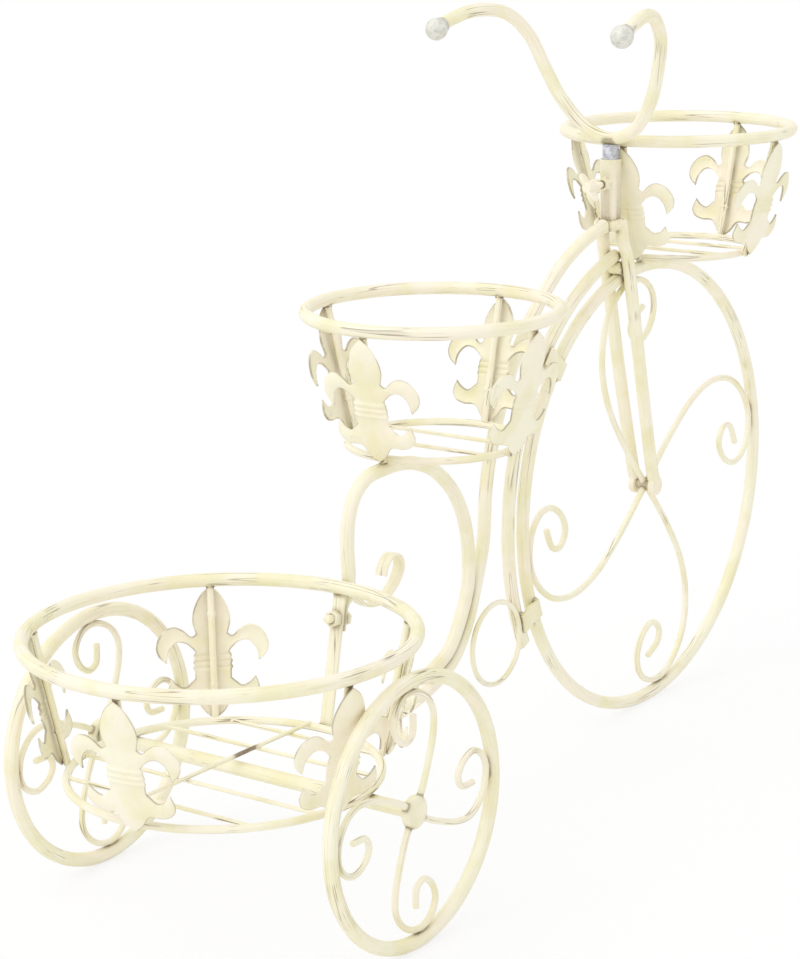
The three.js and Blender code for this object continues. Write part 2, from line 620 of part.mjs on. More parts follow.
// The lily is bent to the basket's own round, and leans with the ribs.
function lily(basket, baseZ, degrees) {
  const run = slope(basket, baseZ);
  const half = LILY.map(([a, d]) => [a * LILY_HALF_WIDTH, d * LILY_HEIGHT]);
  const other = half.slice(1, -1).map(([a, d]) => [-a, d]);
  const outline = [...half, ...other.reverse()].map(([a, d]) => new THREE.Vector2(a, d));
  const shape = new THREE.Shape(outline);
  const flat = toSolid(new THREE.ExtrudeGeometry(shape, { depth: PLATE, bevelEnabled: false }));
  const start = Math.sqrt((RIM_TUBE / 2 + CLEAR) ** 2 - (RIB_ROD / 2 + CLEAR) ** 2) + CLEAR;
  // The middle leaf is flat; beyond it the petals follow the basket's round.
  const bent = (piece) => {
    const geometry = toGeometry(piece);
    const position = geometry.getAttribute("position");
    for (let i = 0; i < position.count; i++) {
      const across = position.getX(i);
      const place = run.at(start + position.getY(i));
      const off = RIB_ROD / 2 + CLEAR + position.getZ(i);
      const r = place.r + off * run.down;
      const bend = Math.max(0, Math.abs(across) - LILY_FLAT) / (place.r + RIB_ROD);
      const along = Math.min(Math.abs(across), LILY_FLAT) + r * Math.sin(bend);
      position.setXYZ(i, r * Math.cos(bend), Math.sign(across) * along, place.z - off * run.in);
    }
    return toSolid(geometry);
  };
  const [right, rest] = flat.splitByPlane([1, 0, 0], LILY_FLAT);
  const [left, middle] = rest.splitByPlane([-1, 0, 0], LILY_FLAT);
  const whole = bent(middle).add(bent(left)).add(bent(right));
  return whole.rotate([0, 0, degrees]).translate([basket.x, 0, 0]);
}

function basket(name, size, baseZ, ribs, floor, crossY, segments) {
  const rimZ = baseZ + BASKET_HEIGHT;
  const rim = (grow) => ringAboutZ(size.rim, RIM_TUBE + grow, segments).translate([size.x, 0, rimZ]);
  add(`${name}_rim`, rim(0));
  let cage = ringAboutZ(size.base, RING_ROD, segments - 6, 6).translate([size.x, 0, baseZ]);
  const run = slope(size, baseZ);
  for (const degrees of ribs) {
    const top = run.at(1);
    const foot = run.at(run.length + 1.5);
    const [tx, ty] = polar(top.r, degrees);
    const [fx, fy] = polar(foot.r, degrees);
    cage = cage.add(bar([size.x + tx, ty, top.z], [size.x + fx, fy, foot.z], RIB_ROD));
  }
  const inner = size.base;
  for (const x of floor) {
    const y = Math.sqrt(inner * inner - x * x);
    cage = cage.add(bar([size.x + x, -y, baseZ], [size.x + x, y, baseZ], FLOOR_WIRE, 6));
  }
  if (crossY !== null) {
    const x = Math.sqrt(inner * inner - crossY * crossY);
    const z = baseZ + FLOOR_WIRE * 0.85;
    cage = cage.add(bar([size.x - x, crossY, z], [size.x + x, crossY, z], FLOOR_WIRE, 6));
  }
  add(`${name}_cage`, cage.subtract(rim(2 * CLEAR)));
  ribs.forEach((degrees, i) => add(`${name}_lily_${i + 1}`, lily(size, baseZ, degrees)));
}

// ---- assembly --------------------------------------------------------------------------------
frontWheel();
rearWheel(1, "left");
rearWheel(-1, "right");
rearAxle();
mainTube();
mudguard();
strap("mudguard_strap_upper", 139);
strap("mudguard_strap_lower", 200);
crownPin();
forkLeg(1, "left");
forkLeg(-1, "right");
headTube();
clampScrew();
handlebar();
arch();
scrollStrip();
post();
jointBolt();
tailRing();
basket("lower", LOWER, LOWER_BASE_Z, LOWER_RIBS, LOWER_FLOOR, LOWER_CROSS_WIRE_Y, 36);
basket("middle", MIDDLE, MIDDLE_BASE_Z, MIDDLE_RIBS, UPPER_FLOOR, null, 32);
basket("front", FRONT, FRONT_BASE_Z, FRONT_RIBS, UPPER_FLOOR, null, 32);

export default stand;
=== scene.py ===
"""Looks of the tricycle-shaped plant stand: brushed cream tubes, stamped lilies and a plain studio."""

import json
import logging
import math
from collections.abc import Callable, Sequence
from dataclasses import dataclass, field
from enum import Enum

import bpy
import numpy as np
from mathutils import Matrix, Vector
from mathutils.bvhtree import BVHTree


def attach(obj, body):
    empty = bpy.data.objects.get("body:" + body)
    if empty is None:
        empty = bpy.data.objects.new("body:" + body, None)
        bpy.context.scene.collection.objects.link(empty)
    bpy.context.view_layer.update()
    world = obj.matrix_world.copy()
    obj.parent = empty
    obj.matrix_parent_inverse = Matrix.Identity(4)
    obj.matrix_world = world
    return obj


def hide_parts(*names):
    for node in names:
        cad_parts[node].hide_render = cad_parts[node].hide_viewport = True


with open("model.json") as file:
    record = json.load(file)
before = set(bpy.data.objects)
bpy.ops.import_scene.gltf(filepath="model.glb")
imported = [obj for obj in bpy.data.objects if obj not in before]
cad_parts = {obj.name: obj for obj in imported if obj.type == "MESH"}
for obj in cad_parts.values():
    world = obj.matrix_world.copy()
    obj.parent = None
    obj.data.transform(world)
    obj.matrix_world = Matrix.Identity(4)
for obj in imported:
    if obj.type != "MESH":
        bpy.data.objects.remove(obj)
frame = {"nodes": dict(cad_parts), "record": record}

logging.basicConfig(level=logging.INFO, format="%(message)s")
LOG = logging.getLogger("plant_stand")

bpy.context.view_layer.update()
MM = 0.001
MERGE = 1e-6  # vertices nearer than this are one, in metres
BODY_OF = {n: b for b, nodes in frame["record"]["behaviour"]["bodies"].items() for n in nodes}

Point = Sequence[float]


# ---- shared sizes ----------------------------------------------------------------------------
@dataclass(frozen=True)
class Plan:
    """Sizes and places that several sub-assemblies share, in millimetres from the front wheel centre.

    Attributes:
        shift: How far ahead of the model's origin the front wheel's centre is.
        clear: Space between pieces that touch.
        weld_gap: Space between a rod's end and what it is welded to.
        tube: Outside diameter of the frame tubes and the wheel hoops.
        front_radius: Centre-line radius of the front hoop.
        front_z: Height of the front wheel's centre.
        rear_radius: Centre-line radius of the rear hoops.
        rear_x: The rear axle.
        rear_z: Height of the rear axle.
        track: Distance between the planes of the rear wheels.
        hub_thickness: Thickness of the rear hub discs.
        guard_radius: Centre-line radius of the tube behind the front wheel.
        head_x: Axis of the head tube.
        bore_floor: Height of the floor of the head's bore.
        screw_z: Height of the clamp screw.
        rim_z: Height of the lower basket's rim.
        basket_height: From a basket's base ring to its rim.
        post_thickness: Thickness of the flat post.
    """

    shift: float = 243.625
    clear: float = 0.3
    weld_gap: float = 0.15
    tube: float = 10.0
    front_radius: float = 180.0
    front_z: float = 185.0
    rear_radius: float = 89.0
    rear_x: float = -511.0
    rear_z: float = 94.0
    track: float = 271.0
    hub_thickness: float = 5.5
    guard_radius: float = 200.0
    head_x: float = -55.0
    bore_floor: float = 409.2
    screw_z: float = 437.0
    rim_z: float = 197.55
    basket_height: float = 95.5
    post_thickness: float = 3.5

    def metres(self, points: Sequence[Point]) -> np.ndarray:
        """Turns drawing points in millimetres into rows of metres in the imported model's frame."""
        moved = np.asarray(points, float).reshape(-1, 3) + (self.shift, 0.0, 0.0)
        return moved * MM

    def polar(self, radius: float, degrees: float) -> tuple[float, float]:
        """Gives the place along X and Z at a radius and an angle round the front wheel centre."""
        turn = math.radians(degrees)
        return radius * math.cos(turn), self.front_z + radius * math.sin(turn)


PLAN = Plan()


# ---- small mesh tools ------------------------------------------------------------------------
def nothing_selected() -> None:
    """Leaves edit mode and deselects every object."""
    if bpy.context.mode != "OBJECT":
        bpy.ops.object.mode_set(mode="OBJECT")
    bpy.ops.object.select_all(action="DESELECT")


def only(obj: bpy.types.Object) -> bpy.types.Object:
    """Makes one object the selected and active one.

    Args:
        obj: The object to work on.

    Returns:
        The same object.
    """
    nothing_selected()
    obj.select_set(True)
    bpy.context.view_layer.objects.active = obj
    return obj


def corners(mesh: bpy.types.Mesh) -> np.ndarray:
    """Reads a mesh's vertex places.

    Args:
        mesh: The mesh to read.

    Returns:
        One row of three numbers for each vertex, in metres.
    """
    places = np.empty(len(mesh.vertices) * 3, np.float32)
    mesh.vertices.foreach_get("co", places)
    return places.reshape(-1, 3).astype(float)


def put_corners(mesh: bpy.types.Mesh, places: np.ndarray) -> None:
    """Moves a mesh's vertices to new places, one row of metres for each."""
    mesh.vertices.foreach_set("co", np.ascontiguousarray(places, np.float32).ravel())
    mesh.update()


def loop_corners(mesh: bpy.types.Mesh) -> np.ndarray:
    """Lists the vertex of every face corner, in face order.

    Args:
        mesh: The mesh to read.

    Returns:
        The vertices' numbers.
    """
    found = np.empty(len(mesh.loops), np.int32)
    mesh.loops.foreach_get("vertex_index", found)
    return found


def store_run(mesh: bpy.types.Mesh, per_corner: np.ndarray) -> None:
    """Keeps where each face corner lies along and across its rod, in metres, for the brush marks."""
    layer = mesh.attributes.new("run", "FLOAT_VECTOR", "CORNER")
    layer.data.foreach_set("vector", np.ascontiguousarray(per_corner, np.float32).ravel())


def store_point(mesh: bpy.types.Mesh, name: str, values: np.ndarray) -> None:
    """Keeps one number for each vertex of a mesh, under a name."""
    layer = mesh.attributes.get(name) or mesh.attributes.new(name, "FLOAT", "POINT")
    layer.data.foreach_set("value", np.ascontiguousarray(values, np.float32))


def modified(obj: bpy.types.Object, kind: str, **settings: object) -> bpy.types.Object:
    """Adds a modifier and applies it.

    Args:
        obj: The object to shape.
        kind: The modifier's type.
        **settings: Its settings.

    Returns:
        The same object.
    """
    only(obj)
    modifier = obj.modifiers.new(kind.title(), kind)
    for key, value in settings.items():
        setattr(modifier, key, value)
    bpy.ops.object.modifier_apply(modifier=modifier.name)
    return obj


def rounded(obj: bpy.types.Object, width: float, segments: int = 2, angle: float = 30.0) -> bpy.types.Object:
    """Rounds the edges that are sharper than an angle in degrees, by a width in millimetres."""
    return modified(obj, "BEVEL", width=width * MM, segments=segments, limit_method="ANGLE",
                    angle_limit=math.radians(angle), use_clamp_overlap=True)


def cut(obj: bpy.types.Object, tool: bpy.types.Object) -> bpy.types.Object:
    """Cuts one object out of another and removes the cutter.

    Args:
        obj: The object that keeps its rest.
        tool: The closed shape that is taken out.

    Returns:
        The cut object.
    """
    modified(obj, "BOOLEAN", operation="DIFFERENCE", solver="EXACT", object=tool)
    bpy.data.objects.remove(tool)
    return obj


def joined(pieces: Sequence[bpy.types.Object]) -> bpy.types.Object:
    """Joins pieces into the first one.

    Args:
        pieces: The objects to join, the one that stays first.

    Returns:
        The joined object.
    """
    nothing_selected()
    for piece in pieces:
        piece.select_set(True)
    bpy.context.view_layer.objects.active = pieces[0]
    bpy.ops.object.join()
    return pieces[0]


def facing_out(obj: bpy.types.Object) -> bpy.types.Object:
    """Merges double vertices and turns every face outwards.

    Args:
        obj: The closed mesh to mend.

    Returns:
        The same object.
    """
    only(obj)
    bpy.ops.object.mode_set(mode="EDIT")
    bpy.ops.mesh.select_all(action="SELECT")
    bpy.ops.mesh.remove_doubles(threshold=MERGE)
    bpy.ops.mesh.normals_make_consistent(inside=False)
    bpy.ops.object.mode_set(mode="OBJECT")
    return obj


def drum(foot: Point, top: Point, diameter: float, sides: int = 32) -> bpy.types.Object:
    """Adds a solid round or many-sided bar between two drawing points.

    Args:
        foot: Middle of one end.
        top: Middle of the other end.
        diameter: Distance across its corners.
        sides: Number of sides.

    Returns:
        The new object, with its place in its mesh.
    """
    low, high = (Vector(p) for p in PLAN.metres([foot, top]))
    reach = high - low
    nothing_selected()
    bpy.ops.mesh.primitive_cylinder_add(vertices=sides, radius=diameter / 2 * MM, depth=reach.length)
    obj = bpy.context.active_object
    turn = reach.to_track_quat("Z", "Y").to_matrix().to_4x4()
    obj.data.transform(Matrix.Translation((low + high) / 2) @ turn)
    return obj


def pick_faces(obj: bpy.types.Object, wanted: Callable[[Vector, Vector], bool]) -> None:
    """Selects faces by place and direction and enters edit mode.

    Args:
        obj: The object to work on.
        wanted: Says from a face's middle and its normal whether it is picked.
    """
    only(obj)
    mesh = obj.data
    for part in (mesh.vertices, mesh.edges):
        part.foreach_set("select", [False] * len(part))
    mesh.polygons.foreach_set("select", [bool(wanted(f.center, f.normal)) for f in mesh.polygons])
    bpy.context.tool_settings.mesh_select_mode = (False, False, True)
    bpy.ops.object.mode_set(mode="EDIT")


def hollowed(obj: bpy.types.Object, at: Point, inwards: Vector, wall: float,
             depth: float) -> bpy.types.Object:
    """Sinks a bore into the end face nearest to a point.

    Args:
        obj: The object to bore.
        at: A drawing point at the middle of the end face.
        inwards: Unit direction into the material.
        wall: Wall that stays round the bore, in millimetres.
        depth: Depth of the bore, in millimetres.

    Returns:
        The same object.
    """
    spot = Vector(PLAN.metres([at])[0])
    nearest = min(obj.data.polygons, key=lambda f: (f.center - spot).length - f.area).index
    middle = obj.data.polygons[nearest].center.copy()
    pick_faces(obj, lambda centre, normal: (centre - middle).length < 1e-7)
    bpy.ops.mesh.inset(thickness=wall * MM, use_even_offset=True)
    move = {"value": inwards * depth * MM, "orient_type": "GLOBAL"}
    bpy.ops.mesh.extrude_region_move(TRANSFORM_OT_translate=move)
    bpy.ops.object.mode_set(mode="OBJECT")
    return obj


def dished(obj: bpy.types.Object, wanted: Callable[[Vector, Vector], bool], border: float,
           slope: float) -> bpy.types.Object:
    """Turns a shallow dish into an object's end faces and rounds its edges.

    Args:
        obj: The object to shape.
        wanted: Says from a face's middle and its normal whether it gets a dish.
        border: Width of the flat border round the dish, in millimetres.
        slope: Width of the dish's sloping side, in millimetres.

    Returns:
        The same object.
    """
    pick_faces(obj, wanted)
    bpy.ops.mesh.inset(thickness=border * MM)
    bpy.ops.mesh.inset(thickness=slope * MM, depth=-0.5 * MM)
    bpy.ops.object.mode_set(mode="OBJECT")
    return rounded(obj, 0.9, 3, 50.0)


# ---- centre lines, rods and hoops ------------------------------------------------------------
SWELL_RUN = 1.6  # stretch over which a rod's end swells into its weld, in millimetres
BUTT_SWELL = 0.09  # how much thicker a hoop is where its ends meet, as a share
BUTT_HALF = 2.2  # half the width of that weld, in millimetres


def in_plane(places: Sequence[tuple[float, float]]) -> list[Point]:
    """Lists points of the stand's middle plane from their places along X and Z."""
    return [(x, 0.0, z) for x, z in places]


def eased(value: float, start: float, end: float) -> float:
    """Rises smoothly from 0 where a value is at its start to 1 where it is at its end."""
    share = min(1.0, max(0.0, (value - start) / (end - start)))
    return share * share * (3 - 2 * share)


class Spacing(Enum):
    """How a smooth centre line is timed between the points it passes."""

    ROUND = "by the root of their distance"
    EVEN = "equally"


def smooth_line(points: Sequence[Point], step: float = 2.5, spacing: Spacing = Spacing.ROUND) -> np.ndarray:
    """Passes a smooth line through points.

    Args:
        points: The points to pass.
        step: Longest distance between samples.
        spacing: How the line is timed.

    Returns:
        The sampled line, one point per row.
    """
    given = np.asarray(points, float)
    if spacing is Spacing.ROUND:
        ends = (2 * given[0] - given[1], 2 * given[-1] - given[-2])
    else:
        ends = (given[0], given[-1])
    chain = np.vstack([ends[0], given, ends[1]])
    line = []
    for a, b, c, d in zip(chain, chain[1:], chain[2:], chain[3:]):
        count = max(2, math.ceil(np.linalg.norm(c - b) / step))
        if spacing is Spacing.ROUND:
            t0, t1, t2 = (math.sqrt(max(np.linalg.norm(q - p), 1e-6)) for p, q in ((a, b), (b, c), (c, d)))
            leave = ((b - a) / t0 - (c - a) / (t0 + t1) + (c - b) / t1) * t1
            reach = ((c - b) / t1 - (d - b) / (t1 + t2) + (d - c) / t2) * t1
        else:
            leave, reach = (c - a) / 2, (d - b) / 2
        t = (np.arange(count) / count)[:, None]
        square = -3 * b + 3 * c - 2 * leave - reach
        cube = 2 * b - 2 * c + leave + reach
        line.append(b + leave * t + square * t**2 + cube * t**3)
    return np.vstack([*line, given[-1:]])


@dataclass
class Rod:
    """A bent round rod or tube.

    Attributes:
        points: Points its centre line passes, in millimetres.
        diameter: Outside diameter.
        sides: Faces round the section.
        tips: Rounding radius at the start and at the end.
        flare: How far each end swells into its weld, as a share of the radius.
        spacing: How the centre line is timed.
        step: Longest distance between rings.
        line: The rings' centres, once built.
        along: The rings' distances from the start, once built.
        ring: The ring that each vertex belongs to, once built.
    """

    points: Sequence[Point]
    diameter: float
    sides: int = 14
    tips: tuple[float, float] = (1.0, 1.0)
    flare: tuple[float, float] = (0.0, 0.0)
    spacing: Spacing = Spacing.ROUND
    step: float = 2.5
    line: np.ndarray = field(default_factory=lambda: np.zeros((0, 3)))
    along: np.ndarray = field(default_factory=lambda: np.zeros(0))
    ring: np.ndarray = field(default_factory=lambda: np.zeros(0, int))

    def stations(self) -> np.ndarray:
        """Places the rings and works out their radii.

        Returns:
            Each ring's radius as a share of the rod's own.
        """
        raw = smooth_line(self.points, self.step, self.spacing)
        gone = np.concatenate([[0], np.cumsum(np.linalg.norm(np.diff(raw, axis=0), axis=1))])
        first, last = (max(t, 0.01) for t in self.tips)
        inner = gone[(gone > first * 1.3 + 0.05) & (gone < gone[-1] - last * 1.3 - 0.05)]
        turn = np.array([0.0, 0.07, 0.3, 0.62, 1.0])
        places = np.concatenate([turn * first, inner, gone[-1] - turn[::-1] * last])
        self.line = np.column_stack([np.interp(places, gone, raw[:, i]) for i in range(3)])
        self.along = places
        radius = self.diameter / 2
        share = np.ones(len(places))
        for tip, away in ((first, places), (last, gone[-1] - places)):
            inside = np.clip(away / tip, 0, 1)
            share -= np.where(inside < 1, tip / radius * (1 - np.sqrt(1 - (1 - inside) ** 2)), 0)
        for swell, away in zip(self.flare, (places, gone[-1] - places)):
            share += swell * np.exp(-away / SWELL_RUN)
        return np.maximum(share, 0.05)

    def build(self) -> bpy.types.Object:
        """Sweeps the round section along the centre line.

        Returns:
            The rod as a closed mesh.
        """
        share = self.stations()
        nothing_selected()
        bpy.ops.curve.primitive_nurbs_path_add()
        obj = bpy.context.active_object
        curve = obj.data
        curve.splines.clear()
        spline = curve.splines.new("POLY")
        spline.points.add(len(self.line) - 1)
        placed = np.column_stack([PLAN.metres(self.line), np.ones(len(self.line))])
        spline.points.foreach_set("co", placed.ravel())
        spline.points.foreach_set("radius", share)
        curve.dimensions = "3D"
        curve.bevel_depth = self.diameter / 2 * MM
        curve.bevel_resolution = (self.sides - 4) // 2
        curve.use_fill_caps = True
        bpy.ops.object.convert(target="MESH")
        obj = bpy.context.active_object
        last = len(self.line) - 1
        self.ring = np.repeat([last, 0, *range(last + 1)], self.sides)
        turn = np.arange(len(self.ring)) % self.sides * 2 * np.pi / self.sides
        radius = self.diameter / 2
        run = np.column_stack([self.along[self.ring], radius * np.cos(turn), radius * np.sin(turn)]) * MM
        store_run(obj.data, run[loop_corners(obj.data)])
        return obj

    def flattened(self, obj: bpy.types.Object,
                  form: Callable[[float], tuple[float, float, float]]) -> bpy.types.Object:
        """Presses the round section flat along parts of the rod, whose line lies in the middle plane.

        Args:
            obj: The rod's mesh.
            form: Gives half the thickness, half the width along Y and the squareness from 0 to 1, at a
                distance from the start.

        Returns:
            The same object.
        """
        places = corners(obj.data) / MM - (PLAN.shift, 0, 0)
        tangent = np.gradient(self.line, axis=0)
        normal = np.column_stack([-tangent[:, 2], np.zeros(len(tangent)), tangent[:, 0]])
        normal /= np.linalg.norm(normal, axis=1)[:, None]
        half, wide, square = np.array([form(gone) for gone in self.along])[self.ring].T
        centre, across = self.line[self.ring], normal[self.ring]
        away = places - centre
        size = np.linalg.norm(away, axis=1) / (self.diameter / 2)
        u, v = (away * across).sum(1), away[:, 1]
        reach = np.maximum(np.hypot(u, v), 1e-9)
        u, v = u / reach, v / reach
        power = 1 - 0.55 * square
        u = np.sign(u) * np.abs(u) ** power * half * size
        v = np.sign(v) * np.abs(v) ** power * (wide - (1 - size) * half)
        put_corners(obj.data, PLAN.metres(centre + across * u[:, None] + np.outer(v, (0, 1, 0))))
        return obj


class Axis(Enum):
    """The axis that a hoop goes round."""

    ACROSS = (0.0, 1.0, 0.0)
    UPRIGHT = (0.0, 0.0, 1.0)


@dataclass(frozen=True)
class Hoop:
    """A rod rolled into a ring and butt-welded.

    Attributes:
        centre: Its middle, in millimetres.
        radius: Centre-line radius.
        diameter: Diameter of the rod.
        axis: The axis it goes round.
        weld: Degrees round the hoop at which its ends meet.
        steps: Rings round the hoop.
        sides: Faces round the section.
    """

    centre: Point
    radius: float
    diameter: float
    axis: Axis
    weld: float = 215.0
    steps: int = 144
    sides: int = 16

    def build(self) -> bpy.types.Object:
        """Spins the round section into a hoop and marks its weld.

        Returns:
            The hoop as a closed mesh.
        """
        centre = Vector(PLAN.metres([self.centre])[0])
        upright = self.axis is Axis.UPRIGHT
        nothing_selected()
        bpy.ops.mesh.primitive_circle_add(
            vertices=self.sides, radius=self.diameter / 2 * MM,
            location=centre + Vector((self.radius * MM, 0, 0)),
            rotation=(math.pi / 2 if upright else 0, 0, 0),
        )
        obj = bpy.context.active_object
        bpy.ops.object.transform_apply(location=True, rotation=True, scale=True)
        bpy.ops.object.mode_set(mode="EDIT")
        bpy.ops.mesh.select_all(action="SELECT")
        bpy.ops.mesh.spin(steps=self.steps, angle=2 * math.pi, center=centre, axis=self.axis.value)
        bpy.ops.object.mode_set(mode="OBJECT")
        facing_out(obj)
        away = corners(obj.data) - np.array(centre)
        up, side = (away[:, 1], away[:, 2]) if upright else (away[:, 2], away[:, 1])
        turn = np.arctan2(up, away[:, 0])
        reach = np.hypot(up, away[:, 0]) - self.radius * MM
        from_weld = (turn - math.radians(self.weld) + np.pi) % (2 * np.pi) - np.pi
        swell = 1 + BUTT_SWELL * np.exp(-((from_weld * self.radius / BUTT_HALF) ** 2))
        out = self.radius * MM + np.where(reach < 0, reach * swell, reach)
        flat = np.column_stack([out * np.cos(turn), out * np.sin(turn)])
        order = (flat[:, 0], flat[:, 1], side) if upright else (flat[:, 0], side, flat[:, 1])
        put_corners(obj.data, np.column_stack(order) + np.array(centre))
        at = loop_corners(obj.data)
        gone = from_weld[at]
        first = np.empty(len(obj.data.polygons), np.int32)
        obj.data.polygons.foreach_get("loop_start", first)
        face = np.repeat(np.arange(len(first)), np.diff([*first, len(at)]))
        crosses = np.maximum.reduceat(gone, first) - np.minimum.reduceat(gone, first) > np.pi
        gone = np.where(crosses[face] & (gone < 0), gone + 2 * np.pi, gone)
        store_run(obj.data, np.column_stack([gone * self.radius * MM, reach[at], side[at]]))
        return obj


@dataclass
class WeldBeads:
    """Small lumpy weld beads, one shaped and copied to every joint.

    Attributes:
        first: The bead that the others are copied from, once made.
    """

    first: bpy.types.Object | None = None

    def shape(self) -> bpy.types.Object:
        """Makes the first bead: a lumpy, slightly flattened blob of 1 mm radius.

        Returns:
            The bead that the others are copied from.
        """
        nothing_selected()
        bpy.ops.mesh.primitive_uv_sphere_add(segments=12, ring_count=8, radius=MM)
        obj = bpy.context.active_object
        bpy.ops.object.mode_set(mode="EDIT")
        bpy.ops.mesh.select_all(action="SELECT")
        bpy.ops.transform.vertex_random(offset=0.16 * MM, uniform=0.4, normal=0.6, seed=7)
        bpy.ops.object.mode_set(mode="OBJECT")
        return obj

    def at(self, place: Point, size: float | Point, turn: float = 0.0) -> bpy.types.Object:
        """Copies the bead to a joint.

        Args:
            place: The joint, in millimetres.
            size: The bead's half size, or its half sizes along X, Y and Z.
            turn: Degrees that it is turned about Z, so that beads differ.

        Returns:
            The copy, with its own mesh.
        """
        if self.first is None:
            self.first = self.shape()
        bead = self.first.copy()
        bead.data = self.first.data.copy()
        bpy.context.collection.objects.link(bead)
        sizes = (size, size, size) if isinstance(size, (int, float)) else tuple(size)
        bead.data.transform(Matrix.Diagonal((*sizes, 1.0)))
        bead.data.transform(Matrix.Rotation(math.radians(turn), 4, "Z"))
        bead.data.transform(Matrix.Translation(PLAN.metres([place])[0]))
        return bead

    def clear(self) -> None:
        """Removes the bead that the others were copied from."""
        if self.first is not None:
            bpy.data.objects.remove(self.first)
            self.first = None


BEADS = WeldBeads()


# ---- materials -------------------------------------------------------------------------------
def linear(red: int, green: int, blue: int) -> tuple[float, float, float, float]:
    """Turns a screen colour into the linear one that a shader takes.

    Args:
        red: Red from 0 to 255.
        green: Green from 0 to 255.
        blue: Blue from 0 to 255.

    Returns:
        The linear colour with full alpha.
    """
    shares = [c / 255 for c in (red, green, blue)]
    made = [c / 12.92 if c <= 0.04045 else ((c + 0.055) / 1.055) ** 2.4 for c in shares]
    return made[0], made[1], made[2], 1.0


@dataclass(frozen=True)
class Signal:
    """A socket of a material whose sums and products are written as Python expressions.

    Attributes:
        graph: The graph that it belongs to.
        socket: The socket itself.
    """

    graph: "Graph"
    socket: bpy.types.NodeSocket

    def _math(self, operation: str, first: object, second: object) -> "Signal":
        """Adds a Math node of two terms."""
        return self.graph.add("ShaderNodeMath", {"operation": operation}, {0: first, 1: second})

    def __add__(self, other: object) -> "Signal":
        """Adds a number or another signal."""
        return self._math("ADD", self, other)

    def __radd__(self, other: object) -> "Signal":
        """Adds this to a number."""
        return self._math("ADD", other, self)

    def __sub__(self, other: object) -> "Signal":
        """Takes a number or another signal away."""
        return self._math("SUBTRACT", self, other)

    def __rsub__(self, other: object) -> "Signal":
        """Takes this away from a number."""
        return self._math("SUBTRACT", other, self)

    def __mul__(self, other: object) -> "Signal":
        """Multiplies by a number or another signal."""
        return self._math("MULTIPLY", self, other)

    def line_at(self, level: float, width: float) -> "Signal":
        """Draws a thin line, 1 on it and 0 beside it, where the signal passes a level."""
        away = self._math("ABSOLUTE", self - level, 0.0)
        return 1 - away.between(width * 0.3, width)

    def between(self, low: float, high: float) -> "Signal":
        """Rises smoothly from 0 at the low value to 1 at the high one."""
        settings = {"interpolation_type": "SMOOTHSTEP"}
        return self.graph.add("ShaderNodeMapRange", settings, {0: self, 1: low, 2: high, 3: 0.0, 4: 1.0})


@dataclass(frozen=True)
class Graph:
    """The node tree of one material or of the world.

    Attributes:
        tree: The node tree that is filled.
    """

    tree: bpy.types.NodeTree

    def add(self, kind: str, settings: dict[str, object] | None = None,
            inputs: dict[int | str, object] | None = None, output: int = 0) -> Signal:
        """Adds a node.

        Args:
            kind: The node's type.
            settings: Its settings, which are set before its sockets.
            inputs: Values or signals of its sockets, by place or name.
            output: The output that is given back.

        Returns:
            That output as a signal.
        """
        node = self.tree.nodes.new(kind)
        for key, value in (settings or {}).items():
            setattr(node, key, value)
        for key, value in (inputs or {}).items():
            if isinstance(value, Signal):
                self.tree.links.new(value.socket, node.inputs[key])
            else:
                node.inputs[key].default_value = value
        return Signal(self, node.outputs[output]) if node.outputs else Signal(self, node.inputs[0])

    def mix(self, share: Signal | float, low: object, high: object) -> Signal:
        """Mixes two colours, with the given share of the second one."""
        settings = {"data_type": "RGBA", "clamp_factor": True}
        return self.add("ShaderNodeMix", settings, {0: share, 6: low, 7: high}, 2)

    def noise(self, place: Signal, scale: Point | float, detail: float = 3.0, shift: float = 0.0) -> Signal:
        """Adds a noise pattern that is stretched by its scale.

        Args:
            place: Where the pattern is read.
            scale: Repeats for each metre, one number or three.
            detail: Finer layers of the noise.
            shift: Moves the pattern, so that two patterns differ.

        Returns:
            The noise from 0 to 1.
        """
        sizes = (scale, scale, scale) if isinstance(scale, (int, float)) else tuple(scale)
        moved = self.add("ShaderNodeVectorMath", {"operation": "MULTIPLY_ADD"},
                         {0: place, 1: sizes, 2: (shift, shift * 0.7, shift * 1.3)})
        return self.add("ShaderNodeTexNoise", {}, {"Vector": moved, "Scale": 1.0, "Detail": detail})

    def attribute(self, name: str, output: int) -> Signal:
        """Reads an attribute of the mesh: output 1 is its vector, 2 its number."""
        return self.add("ShaderNodeAttribute", {"attribute_name": name}, {}, output)


def new_material(name: str) -> tuple[bpy.types.Material, Graph]:
    """Starts an empty material.

    Args:
        name: The material's name.

    Returns:
        The material and its empty graph.
    """
    material = bpy.data.materials.new(name)
    material.use_nodes = True
    material.node_tree.nodes.clear()
    return material, Graph(material.node_tree)


